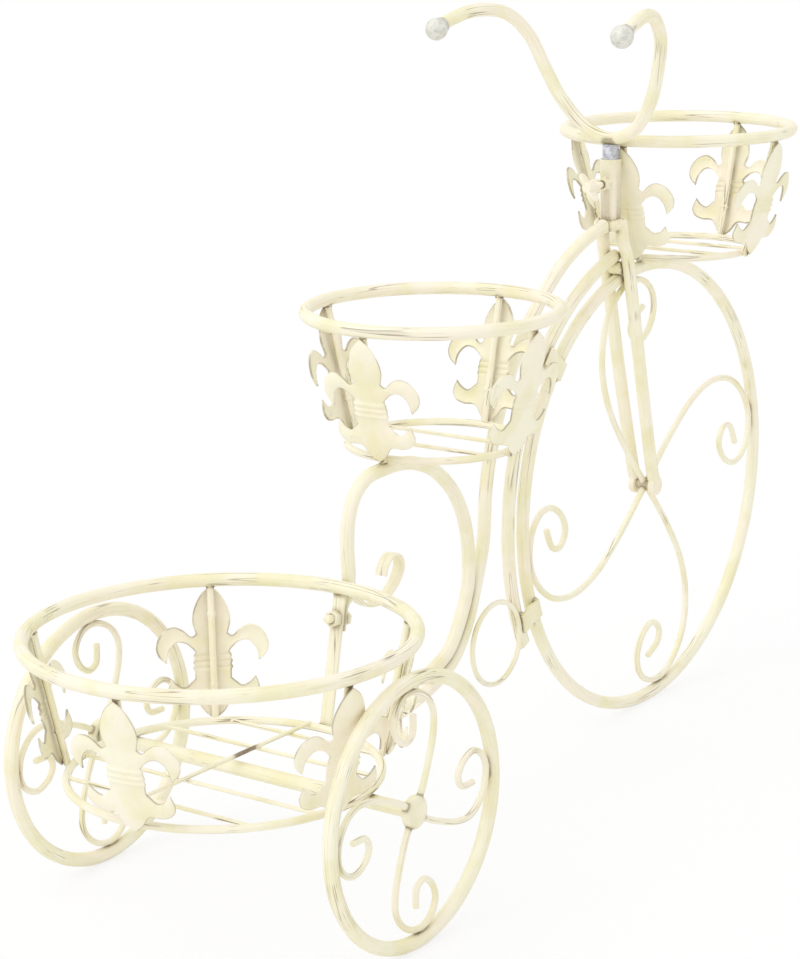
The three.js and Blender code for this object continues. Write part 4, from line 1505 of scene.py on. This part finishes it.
# ---- arch, post and their joint --------------------------------------------------------------
@dataclass(frozen=True)
class ArchJoint:
    """The arch behind the middle basket, with its scroll, the post and their bolted joint.

    Attributes:
        leg_x: The arch's rear leg.
        apex_x: Its highest point along X.
        top: Height of its highest centre-line point.
        tang: Thickness of its flattened end.
        bolt_z: Height of the bolt.
        post_foot: The post's foot along X and Z.
        post_top: The post's top along X and Z.
        lean: Lean of the post, in radians.
    """

    leg_x: float = -398.45
    apex_x: float = -356.5
    top: float = 271.0
    tang: float = 3.0
    bolt_z: float = 176.0
    post_foot: tuple[float, float] = (-428.4, 99.3)
    post_top: tuple[float, float] = (-408.5, 192.5)
    lean: float = 0.2104

    def post_x(self, z: float) -> float:
        """Gives the post's middle at a height."""
        (foot_x, foot_z), (top_x, top_z) = self.post_foot, self.post_top
        return foot_x + (z - foot_z) * (top_x - foot_x) / (top_z - foot_z)

    def leg_path(self, main_path: Sequence[Point]) -> list[Point]:
        """Lists the arch's points, from its flattened end over the top and down behind the main tube.

        Args:
            main_path: The main tube's points.

        Returns:
            The arch's points.
        """
        away = PLAN.post_thickness / 2 + PLAN.clear + self.tang / 2 + 0.05
        on_post = [(self.post_x(z) + away / math.cos(self.lean), z) for z in (167.0, 176.0, 183.0)]
        rise = [(self.leg_x + x, PLAN.rim_z + z) for x, z in
                ((-2.5, -9), (-0.8, -1.5), (0, 8), (-1, 24), (0.5, 44), (8, 61))]
        over = [(self.apex_x + x, self.top + z) for x, z in
                ((-20, -2.6), (0, 0), (30, -1.5), (59, -12), (84, -33), (99, -59), (104, -86))]
        foot = []
        for i in (9, 10, 11, 12):
            before, here, after = (np.array(main_path[k], float) for k in (i - 1, i, i + 1))
            run = after - before
            off = 10.3 / np.linalg.norm(run)
            foot.append((here[0] + run[2] * off, here[2] - run[0] * off))
        return in_plane([*on_post, *rise, *over, *foot])

    def arch(self, main_path: Sequence[Point]) -> bpy.types.Object:
        """Bends the arch and presses its rear end flat for the bolt.

        Args:
            main_path: The main tube's points.

        Returns:
            The dressed arch.
        """
        rod = Rod(self.leg_path(main_path), PLAN.tube, 18, (0.5, 0.6), step=2.4)
        obj = rod.build()
        low = rod.along[int(np.argmin(np.abs(rod.line[:, 2] - (PLAN.rim_z - 7))))]
        high = rod.along[int(np.argmax(rod.line[:, 2] > PLAN.rim_z + 8))]

        def form(gone: float) -> tuple[float, float, float]:
            """Goes from the flat end to the round tube."""
            share = eased(gone, low, high)
            return self.tang / 2 + (5 - self.tang / 2) * share, 5.0, 0.75 * (1 - share)

        rod.flattened(obj, form)
        return dress(obj, "arch_tube", TUBE_PAINT)

    def strip(self) -> bpy.types.Object:
        """Bends the flat scroll that grows out of the arch's rear leg.

        Returns:
            The dressed scroll.
        """
        z = PLAN.rim_z
        points = in_plane([
            (self.leg_x + 2.2, z - 0.4), (self.leg_x + 7.5, z - 12), (-379, z - 20), (-363, z - 20.5),
            (-348, z - 13), (-339.5, z - 2), (-342, z + 7.5), (-351, z + 9.5), (-358, z + 4), (-361, z - 3),
        ])
        rod = Rod(points, 10.0, 18, (0.3, 0.3), spacing=Spacing.EVEN, step=1.6)
        obj = rod.flattened(rod.build(), lambda gone: (1.25, 5.0, 0.8))
        weld = BEADS.at((self.leg_x + 4.0, 0, z - 3.0), (1.4, 4.6, 3.0), 10)
        return dress(joined([obj, weld]), "scroll_strip", RIM_PAINT)

    def post(self) -> bpy.types.Object:
        """Makes the flat post that stands on the lower basket's base ring.

        Returns:
            The dressed post.
        """
        points = in_plane([(self.post_x(z), z) for z in (99.3, 120.0, 145.0, 170.0, 192.3)])
        rod = Rod(points, 10.0, 18, (0.3, 0.3), step=4.0)
        obj = rod.flattened(rod.build(), lambda gone: (PLAN.post_thickness / 2, 5.0, 0.8))
        welds = [BEADS.at((self.post_x(102) - 2.0, side * 3.2, 102), (1.6, 2.0, 2.4), 30 * side)
                 for side in (-1, 1)]
        top = [BEADS.at((self.post_x(192), side * 3.6, 192.4), (2.2, 1.8, 1.5), 50 * side)
               for side in (-1, 1)]
        return dress(joined([obj, *welds, *top]), "joint_post", TUBE_PAINT)

    def on_axis(self, away: float) -> Point:
        """Gives a point on the bolt's axis, away from the post's middle."""
        x, z = self.post_x(self.bolt_z), self.bolt_z
        return (x + away * math.cos(self.lean), 0, z - away * math.sin(self.lean))

    def bolt(self) -> None:
        """Makes the bolt and nut that join the arch to the lower basket."""
        shank = rounded(drum(self.on_axis(-13), self.on_axis(7), 6.0, 28), 0.6)
        head = rounded(drum(self.on_axis(5.45), self.on_axis(9.95), 11.4, 6), 0.6)
        dress(joined([shank, head]), "joint_bolt", TUBE_PAINT)
        nut = rounded(drum(self.on_axis(-8.05), self.on_axis(-2.05), 12.0, 6), 0.6)
        dress(cut(nut, drum(self.on_axis(-20), self.on_axis(20), 6.6, 28)), "joint_nut", TUBE_PAINT)

    def build(self, main_path: Sequence[Point]) -> None:
        """Builds and dresses the arch and its joint.

        Args:
            main_path: The main tube's points.
        """
        self.arch(main_path)
        self.strip()
        self.post()
        self.bolt()


# ---- baskets ---------------------------------------------------------------------------------
BARE_AT = 33.0  # middle of the long wire's bare stretch, ahead of the basket's middle
BARE_HALF = 15.0  # half the length of that stretch


@dataclass
class LilyStamp:
    """The stamped sheet lily, pressed flat once and then bent to each basket.

    Attributes:
        half_width: Half of its width.
        height: Its height.
        sheet: Thickness of the sheet.
        flat: Half width of the part that stays flat over the rib.
        edge: Width of the turned-down edge.
        grid: Distance between the lines that divide the face.
        ridges: Where the ridges round the neck lie, as shares of the height.
        outline: Half of the outline, across and down, in shares; a third value of 1 is a corner.
        pressed: The flat lily, once made.
    """

    half_width: float = 40.0
    height: float = 94.0
    sheet: float = 1.5
    flat: float = 14.0
    edge: float = 0.75
    grid: float = 2.6
    ridges: tuple[float, ...] = (0.52, 0.565, 0.61)
    outline: tuple[tuple[float, float, int], ...] = (
        (0, 0, 1), (0.17, 0.06, 0), (0.3, 0.16, 0), (0.345, 0.26, 0), (0.29, 0.355, 1),
        (0.36, 0.375, 0), (0.5, 0.325, 0), (0.66, 0.295, 0), (0.82, 0.312, 0), (0.95, 0.37, 0),
        (1, 0.445, 0), (0.955, 0.51, 0), (0.815, 0.57, 1), (0.77, 0.475, 0), (0.63, 0.415, 0),
        (0.45, 0.43, 0), (0.31, 0.49, 1), (0.335, 0.555, 0), (0.33, 0.69, 1), (0.5, 0.75, 0),
        (0.63, 0.73, 0), (0.75, 0.68, 1), (0.81, 0.775, 0), (0.73, 0.835, 0), (0.55, 0.865, 0),
        (0.32, 0.868, 0), (0.17, 0.945, 0), (0, 1, 1),
    )
    pressed: bpy.types.Object | None = None

    def edge_line(self) -> np.ndarray:
        """Draws the whole outline, smooth between its corners.

        Returns:
            Across and down places of the outline, once round, in millimetres.
        """
        runs: list[list[Point]] = [[]]
        for across, down, corner in self.outline:
            runs[-1].append((across * self.half_width, down * self.height, 0.0))
            if corner and len(runs[-1]) > 1:
                runs.append([runs[-1][-1]])
        half = np.vstack([smooth_line(run, 1.9)[:-1] for run in runs if len(run) > 1])
        tail = np.array([[0.0, self.height, 0.0]])
        other = half[:0:-1] * (-1, 1, 1)
        return np.vstack([half, tail, other])[:, :2]

    def relief(self, across: np.ndarray, down: np.ndarray, to_edge: np.ndarray) -> np.ndarray:
        """Gives the height of the pressed surface.

        Args:
            across: Places across the lily, in millimetres.
            down: Places down from its tip.
            to_edge: Distances to the outline.

        Returns:
            The height over the flat sheet, in millimetres.
        """
        inside = np.clip(to_edge / 6.5, 0, 1)
        dome = 1.7 * (1 - (1 - inside) ** 2)
        leaf = np.clip(1 - np.abs(across) / (0.3 * self.half_width), 0, 1)
        upper = np.clip((0.37 * self.height - down) / 6, 0, 1) * np.clip(down / 8, 0, 1)
        crease = 0.95 * leaf * upper
        low = np.clip((down - 0.72 * self.height) / 6, 0, 1) * np.clip((0.97 * self.height - down) / 6, 0, 1)
        tail = 0.6 * leaf * low
        neck = np.clip((16 - np.abs(across)) / 3, 0, 1)
        return dome + crease + tail + 1.1 * self.bands(down) * neck * np.clip(to_edge / 1.2, 0.3, 1)

    def bands(self, down: np.ndarray) -> np.ndarray:
        """Gives the three ridges round the lily's neck, from 0 between them to 1 on their crests."""
        return sum(np.exp(-(((down / self.height - at) / 0.0135) ** 2)) for at in self.ridges)

    def press(self) -> bpy.types.Object:
        """Cuts the sheet to the outline, divides its face and presses the relief into it.

        Returns:
            The flat lily, its height measured outwards along Z.
        """
        line = self.edge_line()
        nothing_selected()
        bpy.ops.mesh.primitive_circle_add(vertices=len(line), radius=MM, fill_type="NGON")
        obj = bpy.context.active_object
        flat = np.column_stack([line, np.zeros(len(line))]) * MM
        put_corners(obj.data, flat)
        pick_faces(obj, lambda centre, normal: True)
        bpy.ops.mesh.normals_make_consistent(inside=False)
        bpy.ops.mesh.inset(thickness=self.edge * MM, use_even_offset=True)
        neck = np.arange(0.49, 0.645, 0.0105) * self.height
        rows = [*np.arange(self.grid, self.height, self.grid), *neck]
        columns = np.arange(-15, 16) * self.grid
        lines = [((0, d * MM, 0), (0, 1, 0)) for d in rows] + [((a * MM, 0, 0), (1, 0, 0)) for a in columns]
        for place, normal in lines:
            bpy.ops.mesh.select_all(action="SELECT")
            bpy.ops.mesh.bisect(plane_co=place, plane_no=normal, threshold=2e-5)
        bpy.ops.mesh.select_all(action="SELECT")
        bpy.ops.mesh.remove_doubles(threshold=1e-5)
        bpy.ops.object.mode_set(mode="OBJECT")
        places = corners(obj.data)
        if obj.data.polygons[0].normal.z < 0:
            obj.data.flip_normals()
        to_edge = self.distance(places[:, :2] / MM, line)
        places[:, 2] = self.relief(places[:, 0] / MM, places[:, 1] / MM, to_edge) * MM
        places[:, 0] *= 1 + 0.075 * (self.bands(places[:, 1] / MM) - 0.35) * (np.abs(places[:, 0]) < 0.0155)
        put_corners(obj.data, places)
        store_point(obj.data, "wear", np.clip(1 - to_edge / self.edge, 0, 1))
        modified(obj, "SOLIDIFY", thickness=self.sheet * MM, offset=-1.0, use_even_offset=False)
        rounded(obj, 0.42, 3, 60.0)
        return obj

    @staticmethod
    def distance(places: np.ndarray, line: np.ndarray) -> np.ndarray:
        """Measures points to a closed outline.

        Args:
            places: The points.
            line: The outline, once round.

        Returns:
            Each point's distance to the outline.
        """
        start, end = line, np.roll(line, -1, axis=0)
        run = end - start
        share = ((places[:, None] - start) * run).sum(2) / (run**2).sum(1)
        nearest = start + np.clip(share, 0, 1)[..., None] * run
        return np.linalg.norm(places[:, None] - nearest, axis=2).min(1)

    def copy(self, name: str, basket: "Basket", degrees: float) -> bpy.types.Object:
        """Bends a copy of the lily over one rib of a basket.

        Args:
            name: The CAD node that it stands for.
            basket: The basket that it is welded to.
            degrees: Where its rib stands.

        Returns:
            The dressed lily.
        """
        if self.pressed is None:
            self.pressed = self.press()
        obj = self.pressed.copy()
        obj.data = self.pressed.data.copy()
        bpy.context.collection.objects.link(obj)
        flat = corners(obj.data) / MM
        across, down, height = flat.T
        at = loop_corners(obj.data)
        store_run(obj.data, np.column_stack([down[at], across[at], height[at]]) * MM)
        start = math.sqrt((basket.rim_tube / 2 + 0.3) ** 2 - (basket.rib_rod / 2 + 0.3) ** 2) + 0.3
        radius, z = basket.slope_at(start + down)
        inwards, downwards = basket.slope_shares()
        off = basket.rib_rod / 2 + 0.35 + self.sheet + height
        reach = radius + off * downwards
        bend = np.maximum(0, np.abs(across) - self.flat) / (radius + basket.rib_rod)
        sideways = np.sign(across) * (np.minimum(np.abs(across), self.flat) + reach * np.sin(bend))
        out = reach * np.cos(bend)
        turn = math.radians(degrees)
        placed = np.column_stack([
            basket.x + out * math.cos(turn) - sideways * math.sin(turn),
            out * math.sin(turn) + sideways * math.cos(turn),
            z - off * inwards,
        ])
        put_corners(obj.data, PLAN.metres(placed))
        return dress(obj, name, LILY_PAINT, 50.0)


LILIES = LilyStamp()


@dataclass(frozen=True)
class Basket:
    """A round pot basket: rim, base ring, ribs, floor wires and lilies.

    Attributes:
        name: What its nodes' names start with.
        x: Its middle, from the front wheel centre.
        base_z: Height of its base ring.
        rim: Centre-line radius of the rim.
        base: Centre-line radius of the base ring.
        ribs: Degrees at which its ribs stand.
        floor: Places of the floor wires along X, from its middle.
        cross_y: Place of the long wire laid on the others, if it has one.
        weld: Degrees at which the rim's ends meet.
        rim_tube: Diameter of the rim.
        ring_rod: Diameter of the base ring's rod.
        rib_rod: Diameter of the ribs.
        wire: Diameter of the floor wires.
    """

    name: str
    x: float
    base_z: float
    rim: float
    base: float
    ribs: tuple[float, ...]
    floor: tuple[float, ...]
    cross_y: float | None = None
    weld: float = 62.0
    rim_tube: float = 9.5
    ring_rod: float = 5.5
    rib_rod: float = 5.0
    wire: float = 3.0

    @property
    def rib_foot(self) -> float:
        """Radius at which the ribs' centre lines meet the base."""
        return self.base + self.ring_rod / 2 + self.rib_rod / 2 - 0.8

    @property
    def rib_length(self) -> float:
        """Length of a rib between rim and base."""
        return math.hypot(self.rim - self.rib_foot, PLAN.basket_height)

    def slope_shares(self) -> tuple[float, float]:
        """Gives how far a rib goes inwards and downwards for each step along it."""
        return (self.rim - self.rib_foot) / self.rib_length, PLAN.basket_height / self.rib_length

    def slope_at(self, gone: np.ndarray | float) -> tuple[np.ndarray | float, np.ndarray | float]:
        """Gives the radius and height of the ribs' slope at a distance from the rim along it."""
        inwards, downwards = self.slope_shares()
        return self.rim - gone * inwards, self.base_z + PLAN.basket_height - gone * downwards

    def rib_point(self, degrees: float, gone: float) -> Point:
        """Gives a point on a rib's centre line.

        Args:
            degrees: Where the rib stands.
            gone: Distance from the rim along it.

        Returns:
            The point.
        """
        radius, z = self.slope_at(gone)
        turn = math.radians(degrees)
        return (self.x + radius * math.cos(turn), radius * math.sin(turn), z)

    def cage(self) -> bpy.types.Object:
        """Welds the ribs and floor wires to the base ring.

        Returns:
            The dressed cage.
        """
        centre = (self.x, 0, self.base_z)
        pieces = [Hoop(centre, self.base, self.ring_rod, Axis.UPRIGHT, self.weld + 90, 112, 12).build()]
        for degrees in self.ribs:
            middle = self.rib_length / 2
            points = [self.rib_point(degrees, s) for s in (2.2, middle, self.rib_length + 1.5)]
            pieces.append(Rod(points, self.rib_rod, 12, (0.3, 1.2), step=6.0).build())
            pieces.append(BEADS.at(self.rib_point(degrees, self.rib_length - 0.5), (2.4, 2.4, 3.0), degrees))
            pieces.append(BEADS.at(self.rib_point(degrees, 5.2), (2.9, 2.9, 1.7), degrees + 20))
            for s in (24, 74):
                pieces.append(BEADS.at(self.rib_point(degrees, s), (2.9, 2.9, 3.4), degrees + s))
        for x in self.floor:
            y = math.sqrt(self.base**2 - x**2)
            ends = [(self.x + x, side * y, self.base_z) for side in (-1, 1)]
            pieces.append(Rod(ends, self.wire, 10, (0.3, 0.3), step=6.0).build())
            pieces += [BEADS.at((self.x + x, side * (y - 2.6), self.base_z), (1.9, 2.4, 1.9), x + side)
                       for side in (-1, 1)]
        if self.cross_y is not None:
            x = math.sqrt(self.base**2 - self.cross_y**2)
            z = self.base_z + self.wire * 0.85
            ends = [(self.x + side * x, self.cross_y, z) for side in (-1, 1)]
            pieces.append(Rod(ends, self.wire, 10, (0.5, 0.5), step=2.0).build())
            pieces += [BEADS.at((self.x + side * (x - 1), self.cross_y, z - 0.6), (2.4, 1.8, 1.6), 9 * side)
                       for side in (-1, 1)]
        whole = facing_out(joined(pieces))
        self.bare_wire(whole)
        return dress(whole, f"{self.name}_cage", WIRE_PAINT)

    def bare_wire(self, cage: bpy.types.Object) -> None:
        """Marks where the paint has gone from the long wire, beside the wire that it crosses.

        Args:
            cage: The cage's mesh.
        """
        x, y, z = (corners(cage.data) / MM - (PLAN.shift + self.x, 0, self.base_z)).T
        wear = np.zeros(len(x))
        if self.cross_y is not None:
            on_wire = (np.abs(y - self.cross_y) < self.wire / 2 + 0.2) & (z > 0.7)
            wear = np.where(on_wire, np.clip((BARE_HALF - np.abs(x - BARE_AT)) / 4, 0, 1), 0)
        store_point(cage.data, "wear", wear)

    def build(self) -> None:
        """Builds and dresses the basket."""
        centre = (self.x, 0, self.base_z + PLAN.basket_height)
        rim = Hoop(centre, self.rim, self.rim_tube, Axis.UPRIGHT, self.weld, 160, 18)
        dress(rim.build(), f"{self.name}_rim", RIM_PAINT)
        self.cage()
        for number, degrees in enumerate(self.ribs, 1):
            LILIES.copy(f"{self.name}_lily_{number}", self, degrees)


BASKETS = (
    Basket("lower", x=-538.0, base_z=102.05, rim=129.5, base=104.5, ribs=(43, 115, 190, 258, 323),
           floor=(-67, -27, 48, 83), cross_y=9.0),
    Basket("middle", x=-294.0, base_z=279.05, rim=90.5, base=62.5, ribs=(2, 94, 183, 267), floor=(-17, 20)),
    Basket("front", x=47.0, base_z=373.05, rim=90.0, base=59.5, ribs=(-3, 96, 182, 268), floor=(-17, 20)),
)


# ---- studio ----------------------------------------------------------------------------------
@dataclass(frozen=True)
class Studio:
    """The white floor, the soft light and the camera.

    Attributes:
        sky: Strength of the light from all round.
        sun: Strength of the soft main light.
        lens: The camera's lens, in millimetres.
    """

    sky: float = 0.86
    sun: float = 0.82
    lens: float = 100.99

    def floor(self) -> None:
        """Lays a plain white floor that keeps the stand's shadow."""
        nothing_selected()
        bpy.ops.mesh.primitive_plane_add(size=60.0)
        obj = bpy.context.active_object
        obj.name = "studio_floor"
        material, g = new_material("floor_white")
        paper = g.add("ShaderNodeBsdfDiffuse", {}, {"Color": (0.94, 0.94, 0.94, 1.0)})
        glow = g.add("ShaderNodeEmission", {}, {"Color": (1.0, 1.0, 1.0, 1.0), "Strength": 1.0})
        seen = self.seen(g) * 0.75
        mixed = g.add("ShaderNodeMixShader", {}, {0: seen, 1: paper, 2: glow})
        g.add("ShaderNodeOutputMaterial", {}, {"Surface": mixed})
        obj.data.materials.append(material)

    @staticmethod
    def seen(g: Graph) -> Signal:
        """Tells rays that show the background from rays that light the stand.

        Args:
            g: The graph that the answer is added to.

        Returns:
            1 for rays that show the background and 0 for the others.
        """
        camera = g.add("ShaderNodeLightPath", {}, {}, 0)
        path = camera.socket.node.outputs
        glossy, through = Signal(g, path["Is Glossy Ray"]), Signal(g, path["Is Transmission Ray"])
        both = g.add("ShaderNodeMath", {"operation": "ADD", "use_clamp": True}, {0: camera, 1: glossy})
        return g.add("ShaderNodeMath", {"operation": "ADD", "use_clamp": True}, {0: both, 1: through})

    def lights(self) -> None:
        """Sets the even light from all round and a soft light from the upper left."""
        world = bpy.data.worlds.new("studio_world")
        bpy.context.scene.world = world
        world.use_nodes = True
        world.node_tree.nodes.clear()
        g = Graph(world.node_tree)
        even = g.add("ShaderNodeBackground", {}, {"Color": (1.0, 1.0, 1.0, 1.0), "Strength": self.sky})
        white = g.add("ShaderNodeBackground", {}, {"Color": (1.0, 1.0, 1.0, 1.0), "Strength": 1.0})
        mixed = g.add("ShaderNodeMixShader", {}, {0: self.seen(g), 1: even, 2: white})
        g.add("ShaderNodeOutputWorld", {}, {"Surface": mixed})
        nothing_selected()
        bpy.ops.object.light_add(type="SUN", location=(-1.2, 0.6, 2.2))
        sun = bpy.context.active_object
        sun.name = "soft_sun"
        sun.data.energy = self.sun
        sun.data.angle = math.radians(55)
        aim = Vector((0.62, -0.22, -0.92))
        sun.rotation_euler = aim.to_track_quat("-Z", "Y").to_euler()

    def camera(self) -> None:
        """Stands the camera where the photograph was taken from."""
        place = (-1.582115, -1.09296, 0.71892)
        right = Vector((0.588539, -0.808327, -0.015138))
        up = Vector((0.203815, 0.130225, 0.97031))
        ahead = Vector((0.782356, 0.57415, -0.241392))
        turn = Matrix((right, up, -ahead)).transposed().to_4x4()
        nothing_selected()
        bpy.ops.object.camera_add()
        camera = bpy.context.active_object
        camera.name = "photo_camera"
        camera.matrix_world = Matrix.Translation(place) @ turn
        camera.data.lens = self.lens
        camera.data.sensor_width = 36.0
        camera.data.sensor_fit = "AUTO"
        camera.data.clip_end = 200.0
        bpy.context.scene.camera = camera

    def build(self) -> None:
        """Builds the studio round the stand."""
        self.floor()
        self.lights()
        self.camera()
        bpy.context.scene.view_settings.view_transform = "Standard"


def main() -> None:
    """Builds the sub-assemblies in order, then the studio."""
    FrontWheel().build()
    RearWheel("left", 1.0).build()
    RearWheel("right", -1.0).build()
    RearAxle().build()
    backbone = Backbone()
    backbone.build()
    Head().build()
    ClampScrew().build()
    Handlebar().build()
    ArchJoint().build(backbone.main_path())
    for basket in BASKETS:
        basket.build()
    BEADS.clear()
    bpy.data.objects.remove(LILIES.pressed)
    Studio().build()


if __name__ == "__main__":
    main()
